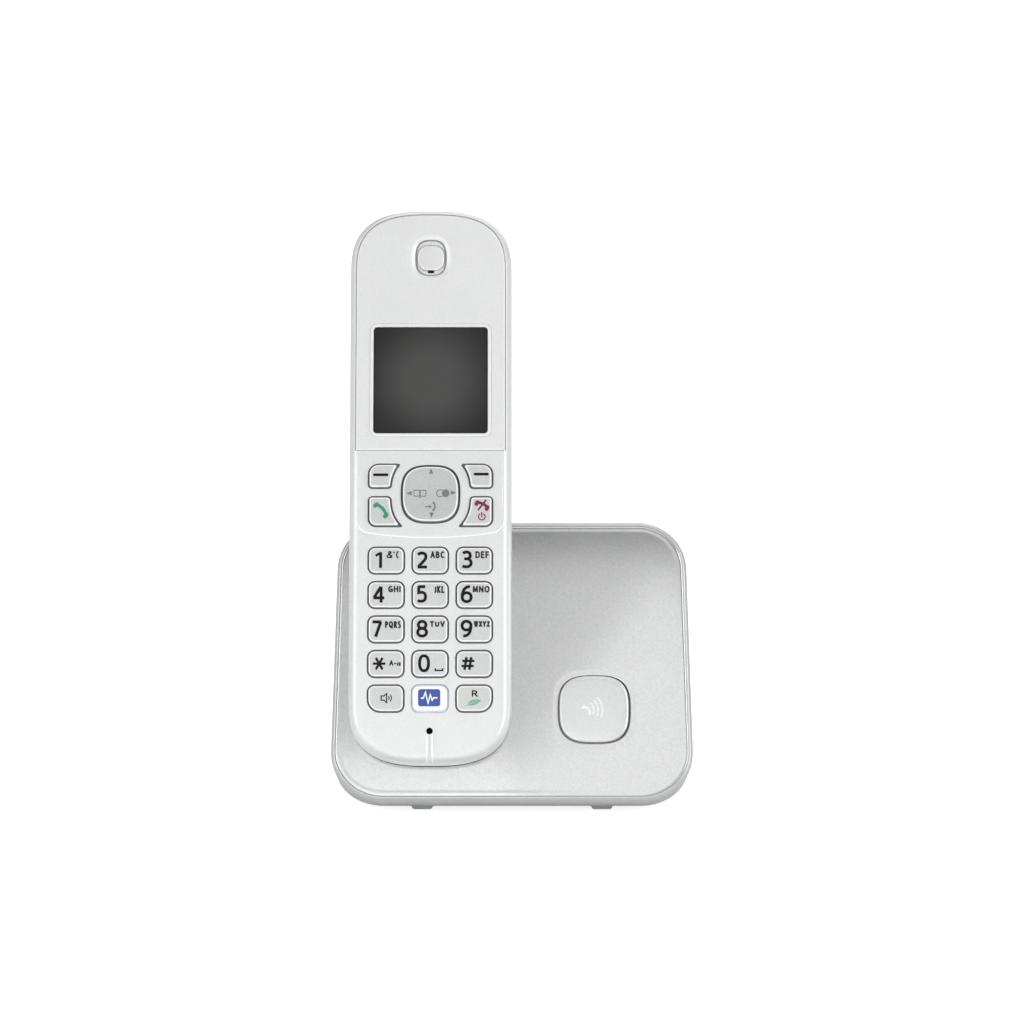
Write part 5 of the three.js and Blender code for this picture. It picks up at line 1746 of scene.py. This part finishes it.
nav_marks.join(disc_)
nav_marks.join(ink(ribbon([(-1.55, 73.1), (0.0, 73.1)], 0.32)))
nav_marks.join(ink(np.array([(-0.28, 72.55), (0.52, 73.1), (-0.28, 73.66)])))
p_ = bez((0.78, 74.42), (1.55, 73.7), (1.55, 72.7), (0.74, 71.95), n=15)
w_ = 0.42 + 0.30 * (np.abs(np.linspace(-1, 1, 15)) ** 2.5)
nav_marks.join(ink(ribbon(p_, w_)))
legend("marks_navigator", nav_marks, M_INK_GREY, "navigator_key", nav_face)

# ---- the handset and its call, raised on the locator button
def button_face(x, y):
    """Height of the cap above the plate at (x, y), from the cap's own rings."""
    ks = np.array([0.6, 1.1, 2.2, 4.2, 6.4, 8.4])
    zs_ = np.array([0.71, 0.75, 0.80, 0.85, 0.885, 0.90])
    r = (np.abs((x - BTN_X) / BTN_A) ** 2.6 + np.abs((y - BTN_Y) / BTN_B) ** 2.6) ** (1 / 2.6)
    return np.interp((1 - r) * BTN_A, ks, zs_)


glyph = receiver((20.3, 27.5), (22.3, 25.75), 0.60, 0.60, 0.74)
call = Shape().join(glyph)
for r_, h_, cxr in ((3.0, 34, 20.3), (4.1, 35, 20.45), (5.3, 34, 20.5)):
    t_ = np.radians(np.linspace(-h_ + 12, h_ + 8, 17))
    call.join(ink(ribbon(np.column_stack([cxr + r_ * np.cos(t_), 26.6 + r_ * np.sin(t_)]), 0.40, "round")))
v_ = np.asarray(call.v)
v_[:, 2] = np.where(v_[:, 2] > 0, 0.05, LZ0)
call.v = list(map(tuple, v_))
v_ = np.asarray(call.v)
v_[:, 2] += button_face(v_[:, 0], v_[:, 1])
call.v = list(map(tuple, v_))
make("emblem_call", call, [M_EMBOSS], "locator_button", (), "plate", sharp=30, weighted=False)

HOUSE = rotated(housing, np.column_stack([AXES.T, PLATE_AT]))  # part millimetres from here on


def ymap(shape):
    """A prism drawn in (x, z) with its height along +y, in part millimetres."""
    return rotated(shape, [[1, 0, 0, 0], [0, 0, 1, 0], [0, 1, 0, 0]])


def yprism(points, y0, y1, m=0):
    """points are (x, z); the prism runs along y from y0 to y1."""
    p = np.asarray(points, float)[::-1]
    return ymap(prism(p, y0, y1, m))


def yloft(levels, mats=None):
    return ymap(loft([(np.asarray(p, float)[::-1], y) for p, y in levels], mats))


def part_box(node):
    a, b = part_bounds(node)
    return np.array(a) * 1000, np.array(b) * 1000


_l0, _l1 = part_box("line_socket")
_p0, _p1 = part_box("power_socket")
LINE_X, LINE_Z = (_l0[0] + _l1[0]) / 2, 12.6
DC_X = (_p0[0] + _p1[0]) / 2


def rect_out(cx, cz, w, h, r):
    return lambda d: round_rect(cx, cz, w - 2 * d, h - 2 * d, max(r - d, 0.15), 6)


line_hole = rect_out(LINE_X, LINE_Z, 10.4, 7.6, 0.5)
dc_hole = lambda d: superellipse(DC_X, LINE_Z, 3.5 - d, 3.5 - d, 2.0, 48)
cuts = Shape()
for f in (line_hole, dc_hole):
    cuts.join(yloft([(f(0), BACK_Y - 4.0), (f(0), BACK_Y - 0.5), (f(-0.1), BACK_Y - 0.22), (f(-0.28), BACK_Y - 0.05), (f(-0.5), BACK_Y + 0.02), (f(-0.52), BACK_Y + 2)]))
# air slots in the underside, their walls painted in near-black shade
vents = Shape()
for i in range(-5, 6):
    x = i * 3.2
    vents.join(block(x - 0.7, x + 0.7, 16, 34, FLOOR_Z - 1, FLOOR_Z + 1.1, 1))
screws = Shape()
for n in ("base_screw_1", "base_screw_2"):
    a, b = part_box(n)
    cx, cy = (a[0] + b[0]) / 2, (a[1] + b[1]) / 2
    f = lambda d: superellipse(cx, cy, 3.0 - d, 3.0 - d, 2.0, 40)
    screws.join(loft([(f(-0.35), FLOOR_Z - 1), (f(-0.3), FLOOR_Z - 0.02), (f(-0.08), FLOOR_Z + 0.06), (f(0), FLOOR_Z + 0.3), (f(0), FLOOR_Z + 1.0)]))
FEET = ("base_foot_front_left", "base_foot_front_right", "base_foot_rear_left", "base_foot_rear_right")
# wall-hanging keyholes, their walls painted in near-black shade
keyhole = Shape()
for x in (-25.0, 25.0):
    body = [(x + 3.8 * math.cos(a), 0.0 + 3.8 * math.sin(a)) for a in np.radians(np.linspace(118, 422, 34))]
    neck = [(x + 1.8 * math.cos(a), 8.0 + 1.8 * math.sin(a)) for a in np.radians(np.linspace(0, 180, 15))]
    keyhole.join(prism(np.array(body + neck), FLOOR_Z - 1, FLOOR_Z + 1.4, 1))
ops = [("-", cuts), ("-", vents), ("-", screws), ("-", keyhole)]
# where the cradle runs out through the top
exit_cut = rotated(trough_in, np.column_stack([AXES.T, PLATE_AT]))
HOUSE = csg(HOUSE, ("-", exit_cut), *ops)
make("base_rear_shell", HOUSE, [M_HOUSING, M_HOLE_SHADE_MIC_BLACK], "base", ["base_rear_housing"], "part", sharp=30)

for n in FEET:
    a, b = part_box(n)
    w, l = b[0] - a[0], b[1] - a[1]
    cx, cy = (a[0] + b[0]) / 2, (a[1] + b[1]) / 2
    top = b[2]
    f = lambda d, e: round_rect(cx, cy, w - 2 * d, l - 2 * e, [max(1.9 - d, 0.5)] * 4, 8)
    foot = loft(
        [
            (f(1.75, 0.95), 0.0),
            (f(1.5, 0.7), 0.04),
            (f(1.3, 0.5), 0.14),
            (f(1.15, 0.36), 0.32),
            (f(0.95, 0.22), 0.7),
            (f(0.6, 0.1), 1.15),
            (f(0.2, 0.02), 1.5),
            (f(0.0, 0.0), top),
        ]
    )
    # three grip grooves across the tread
    for k in (-1, 0, 1):
        y = cy + k * l * 0.22
        foot = csg(foot, ("-", block(cx - w, cx + w, y - 0.25, y + 0.25, -1, 0.25)))
    make("pad_" + n[10:], foot, [M_RUBBER], "base", [n], "part")

# ---------------------------------------------------------------- handset, rear half
rear_outer_levels = [(handset_ring(d), z) for z, d in REAR_PROFILE]
rear_outer = loft(rear_outer_levels)


def rear_offset(t, top=PART_Z + 1.0):
    lv = [(handset_ring(d + t * (0.78 if d > 1 else 1.0)), z + t) for z, d in REAR_PROFILE if z < PART_Z - 1.5]
    return loft(lv + [(handset_ring(t), top)])


_clo, _chi = plate_box("battery_cover")
CX0, CX1 = _clo[0] - HX, _chi[0] - HX
CY0, CY1 = _clo[1] - HY, _chi[1] - HY
rear = csg(rear_outer, ("-", rear_offset(1.6)))
support = csg(block(-17, 17, 18.8, 86.2, BACK - 0.5, -8.4), ("&", rear_outer))
tray = block(-12.6, 12.6, 22.4, 77.2, -9, 1.8)
well = block(-11.1, 11.1, 24, 75.5, BACK - 1, 0.5)
bed = csg(block(CX0 - 0.15, CX1 + 0.15, CY0 - 5.4, CY1 + 0.15, BACK - 1, 0), ("-", rear_offset(1.7)))
# the loudspeaker slots' walls are painted in near-black shade
slots_out = Shape()
_slo, _shi = plate_box("loudspeaker")
SPK_Y = (_slo[1] + _shi[1]) / 2 - HY
for i in range(-2, 3):
    y = SPK_Y + i * 2.6
    half = 7.0 - abs(i) * 0.9
    pts = np.vstack([arc(half - 0.6, y, 0.6, 0.6, -90, 90, 9), arc(-half + 0.6, y, 0.6, 0.6, 90, 270, 9)])
    slots_out.join(prism(pts, BACK - 1, -9.6, 1))
screw_cut = Shape()
for n in ("handset_screw_left", "handset_screw_right"):
    a, b = plate_box(n)
    cx, cy = (a[0] + b[0]) / 2 - HX, (a[1] + b[1]) / 2 - HY
    screw_cut.join(prism(superellipse(cx, cy, 2.5, 2.5, 2.0, 32), BACK - 1, -9.0, 0))
# the contact openings' walls are painted in near-black shade
contact_cut = Shape()
for n in ("handset_contact_left", "handset_contact_right"):
    a, b = plate_box(n)
    contact_cut.join(block(a[0] - HX - 0.15, b[0] - HX + 0.15, -1, 8, a[2] - 0.15, b[2] + 0.15, 1))
rear = csg(rear, ("+", support), ("+", tray), ("-", well), ("-", bed), ("-", slots_out), ("-", screw_cut), ("-", contact_cut))
make("handset_rear_shell", rear, [M_REAR, M_HOLE_SHADE_MIC_BLACK], "handset", ["handset_rear_cover"], "handset", sharp=30)

cover = csg(block(CX0, CX1, CY0, CY1, BACK - 1, 0), ("&", rear_outer), ("-", rear_offset(1.5)))
# a thumb panel of shallow ridges and an arrow sunk into it
thumb = Shape()
for i in range(6):
    y = CY1 - 7.5 - i * 1.9
    half = 6.6 - abs(i - 2.5) * 0.55
    pts = np.vstack([arc(half - 0.42, y, 0.42, 0.42, -90, 90, 7), arc(-half + 0.42, y, 0.42, 0.42, 90, 270, 7)])
    thumb.join(prism(pts, BACK - 1, BACK + 0.32, 0))
arrow = prism(np.array([(0, CY1 - 24.5), (2.1, CY1 - 21.4), (-2.1, CY1 - 21.4)]), BACK - 1, BACK + 0.28, 0)
cover = csg(cover, ("-", thumb), ("-", arrow))
make("battery_door", cover, [M_REAR], "battery_cover", ["battery_cover"], "handset", sharp=30)

# ---------------------------------------------------------------- the CAD nodes that stay, each with its material
STAY = {
    "navigator_carrier": M_BLACK,
    "lcd_module": M_LCD,
    "earpiece_speaker": M_BLACK,
    "keypad_mat": M_MAT,
    "handset_board": M_BOARD,
    "microphone": M_HOLE_SHADE_MIC_BLACK,
    "handset_contact_left": M_CONTACT,
    "handset_contact_right": M_CONTACT,
    "handset_screw_left": M_STEEL,
    "handset_screw_right": M_STEEL,
    "battery_cell_left": M_CELL,
    "battery_cell_right": M_CELL,
    "battery_link_plate": M_CONTACT,
    "battery_terminal_left": M_CONTACT,
    "battery_terminal_right": M_CONTACT,
    "loudspeaker": M_BLACK,
    "charge_contact_left": M_CONTACT,
    "charge_contact_right": M_CONTACT,
    "locator_switch_board": M_BOARD,
    "base_main_board": M_BOARD,
    "line_socket": M_BLACK,
    "power_socket": M_BLACK,
    "radio_shield": M_TIN,
    "capacitor": M_BLACK,
    "antenna_plate": M_TIN,
    "base_screw_1": M_STEEL,
    "base_screw_2": M_STEEL,
}
for n, mt in STAY.items():
    me = NODES[n].data
    me.materials.clear()
    me.materials.append(mt)

# ---------------------------------------------------------------- stage
def stage_light(name, location, target, size, power, shape="RECTANGLE", color=(1, 1, 1), spread=180):
    d = bpy.data.lights.new(name, "AREA")
    d.shape = shape
    d.size, d.size_y = size
    d.energy = power
    d.color = color
    d.spread = math.radians(spread)
    o = bpy.data.objects.new(name, d)
    SCENE.collection.objects.link(o)
    o.location = location
    o.rotation_mode = "QUATERNION"
    o.rotation_quaternion = (Vector(target) - Vector(location)).to_track_quat("-Z", "Y")
    o.visible_camera = False
    return o


FLOOR_GLOW = 0.75
# radiance of the room by its direction's distance from the front: ahead, front side, side, behind
ROOM_AHEAD = (0.0, -0.90, 0.43)
ROOM = [(-1.0, 0.20), (-0.35, 0.30), (0.05, 0.45), (0.45, 0.70), (0.78, 0.50), (0.97, 0.06)]
lo, hi = Vector(CAD_BOX[0]), Vector(CAD_BOX[1])
mid = (lo + hi) / 2
floor_shape = Shape()
R, RB = 3.0, 3.0
n = floor_shape.add([(-R, -R, 0), (R, -R, 0), (R, RB, 0), (-R, RB, 0)])
floor_shape.face((n, n + 1, n + 2, n + 3))
fm = bpy.data.meshes.new("floor")
fm.from_pydata(floor_shape.v, [], floor_shape.f)
floor = bpy.data.objects.new("floor", fm)
SCENE.collection.objects.link(floor)
m, nt, b = material("floor_white")
b.inputs["Base Color"].default_value = (0.74, 0.74, 0.74, 1)
b.inputs["Emission Color"].default_value = (1, 1, 1, 1)
b.inputs["Emission Strength"].default_value = FLOOR_GLOW
flp = node(nt, "ShaderNodeLightPath")
fglow = node(nt, "ShaderNodeMapRange", in_3=0.06, in_4=FLOOR_GLOW)
nt.links.new(flp.outputs["Is Camera Ray"], fglow.inputs[0])
nt.links.new(fglow.outputs[0], b.inputs["Emission Strength"])
b.inputs["Roughness"].default_value = 0.8
b.inputs["Specular IOR Level"].default_value = 0.1
fm.materials.append(m)

world_data = bpy.data.worlds.new("studio")
world_data.use_nodes = True
SCENE.world = world_data
wt = world_data.node_tree
bg = wt.nodes["Background"]
bg.inputs["Strength"].default_value = 1.0
white = node(wt, "ShaderNodeBackground")
white.inputs["Color"].default_value = (1, 1, 1, 1)
white.inputs["Strength"].default_value = 1.0
# the room: bright at the sides, behind and above, dim in front
wtc = node(wt, "ShaderNodeTexCoord")
wdot = node(wt, "ShaderNodeVectorMath", operation="DOT_PRODUCT")
wdot.inputs[1].default_value = ROOM_AHEAD
wt.links.new(wtc.outputs["Generated"], wdot.inputs[0])
wmap = node(wt, "ShaderNodeMapRange", in_1=-1.0, in_2=1.0, in_3=0.0, in_4=1.0)
wt.links.new(wdot.outputs["Value"], wmap.inputs[0])
wramp = node(wt, "ShaderNodeValToRGB")
wramp.color_ramp.interpolation = "EASE"
while len(wramp.color_ramp.elements) < len(ROOM):
    wramp.color_ramp.elements.new(0.5)
for el, (at, v) in zip(wramp.color_ramp.elements, ROOM):
    el.position, el.color = (at + 1) / 2, (v, v, v, 1)
wt.links.new(wmap.outputs[0], wramp.inputs[0])
wt.links.new(wramp.outputs[0], bg.inputs["Color"])
lp = node(wt, "ShaderNodeLightPath")
mix = node(wt, "ShaderNodeMixShader")
wt.links.new(lp.outputs["Is Camera Ray"], mix.inputs[0])
wt.links.new(bg.outputs[0], mix.inputs[1])
wt.links.new(white.outputs[0], mix.inputs[2])
wt.links.new(mix.outputs[0], wt.nodes["World Output"].inputs["Surface"])


def box_light(name, centre, normal, along, size, radiance):
    """A softbox facing along `normal`, its long side along `along`; radiance in the picture's own units."""
    d = bpy.data.lights.new(name, "AREA")
    d.shape = "RECTANGLE"
    d.size, d.size_y = size
    d.energy = radiance * math.pi * size[0] * size[1]
    o = bpy.data.objects.new(name, d)
    SCENE.collection.objects.link(o)
    nrm, up = Vector(normal).normalized(), Vector(along).normalized()
    up = (up - nrm * up.dot(nrm)).normalized()
    side = up.cross(-nrm)
    o.matrix_world = Matrix((side, up, -nrm)).transposed().to_4x4()
    o.location = centre
    o.visible_camera = False
    return o


CAMERA_AT = Vector((0, 0, 0.08015)) + Vector((0, -math.cos(math.radians(18)), math.sin(math.radians(18)))) * 1.2


def seen_in(p, x, y):
    """Where the camera's ray, mirrored at a point of the plate's plane, meets the plane `p`."""
    at = Vector(world([(x, y, 0)])[0])
    d = (at - CAMERA_AT).normalized()
    d = d - Vector(OUT) * (2 * d.dot(Vector(OUT)))
    return at + d * ((p[0] - at).dot(p[1]) / d.dot(p[1]))


def edge_box(name, distance, start, end, towards, length, width, radiance):
    """A softbox set so that one side is mirrored on the plate from `start` towards `end`, and its body on the side of `towards`."""
    at = Vector(world([(*start, 0)])[0])
    d = (at - CAMERA_AT).normalized()
    d = d - Vector(OUT) * (2 * d.dot(Vector(OUT)))
    plane = (at + d * distance, d)
    q0, q1, q2 = seen_in(plane, *start), seen_in(plane, *end), seen_in(plane, *towards)
    along = (q1 - q0).normalized()
    out = q2 - q0
    out = (out - along * out.dot(along)).normalized()
    return box_light(name, q0 + along * (length / 2) + out * (width / 2), -d, along, (width, length), radiance)


edge_box("front_box", 0.36, (41, 68), (3, 11), (50, 20), 0.50, 0.42, 0.49)
edge_box("fill_box", 0.365, (58, 73), (-60, 69.5), (0, 0), 0.55, 0.40, 0.68)
edge_box("left_box", 0.36, (0, 14.5), (-60, 14.5), (-45, 0), 0.25, 0.25, 0.74)
edge_box("tall_box", 0.40, (-17, 140), (-17, 240), (20, 180), 0.20, 0.20, 1.0)
stage_light("soft_left", (-0.78, -0.45, 0.34), (0, 0, 0.10), (0.40, 0.9), 3.2)
stage_light("soft_right", (0.78, -0.45, 0.34), (0, 0, 0.10), (0.40, 0.9), 4.6)
stage_light("soft_top", (0.0, 0.45, 0.90), (0, 0, 0.05), (0.9, 0.28), 1.7)
stage_light("soft_back", (0.25, 0.95, 0.50), (0, 0, 0.06), (0.9, 0.5), 2.2)


cam_data = bpy.data.cameras.new("camera")
cam = bpy.data.objects.new("camera", cam_data)
SCENE.collection.objects.link(cam)
SCENE.camera = cam
ELEVATION, DISTANCE = 18.0, 1.200
target = Vector((0, 0, 0.08015))
e = math.radians(ELEVATION)
cam.location = target + Vector((0, -math.cos(e), math.sin(e))) * DISTANCE
cam.rotation_mode = "QUATERNION"
cam.rotation_quaternion = (target - cam.location).to_track_quat("-Z", "Y")
cam_data.sensor_width = 36.0
cam_data.lens = 3.47 * 1200 * 36.0 / 1024
cam_data.clip_start, cam_data.clip_end = 0.05, 20
SCENE.view_settings.view_transform = "Standard"
SCENE.view_settings.look = "None"
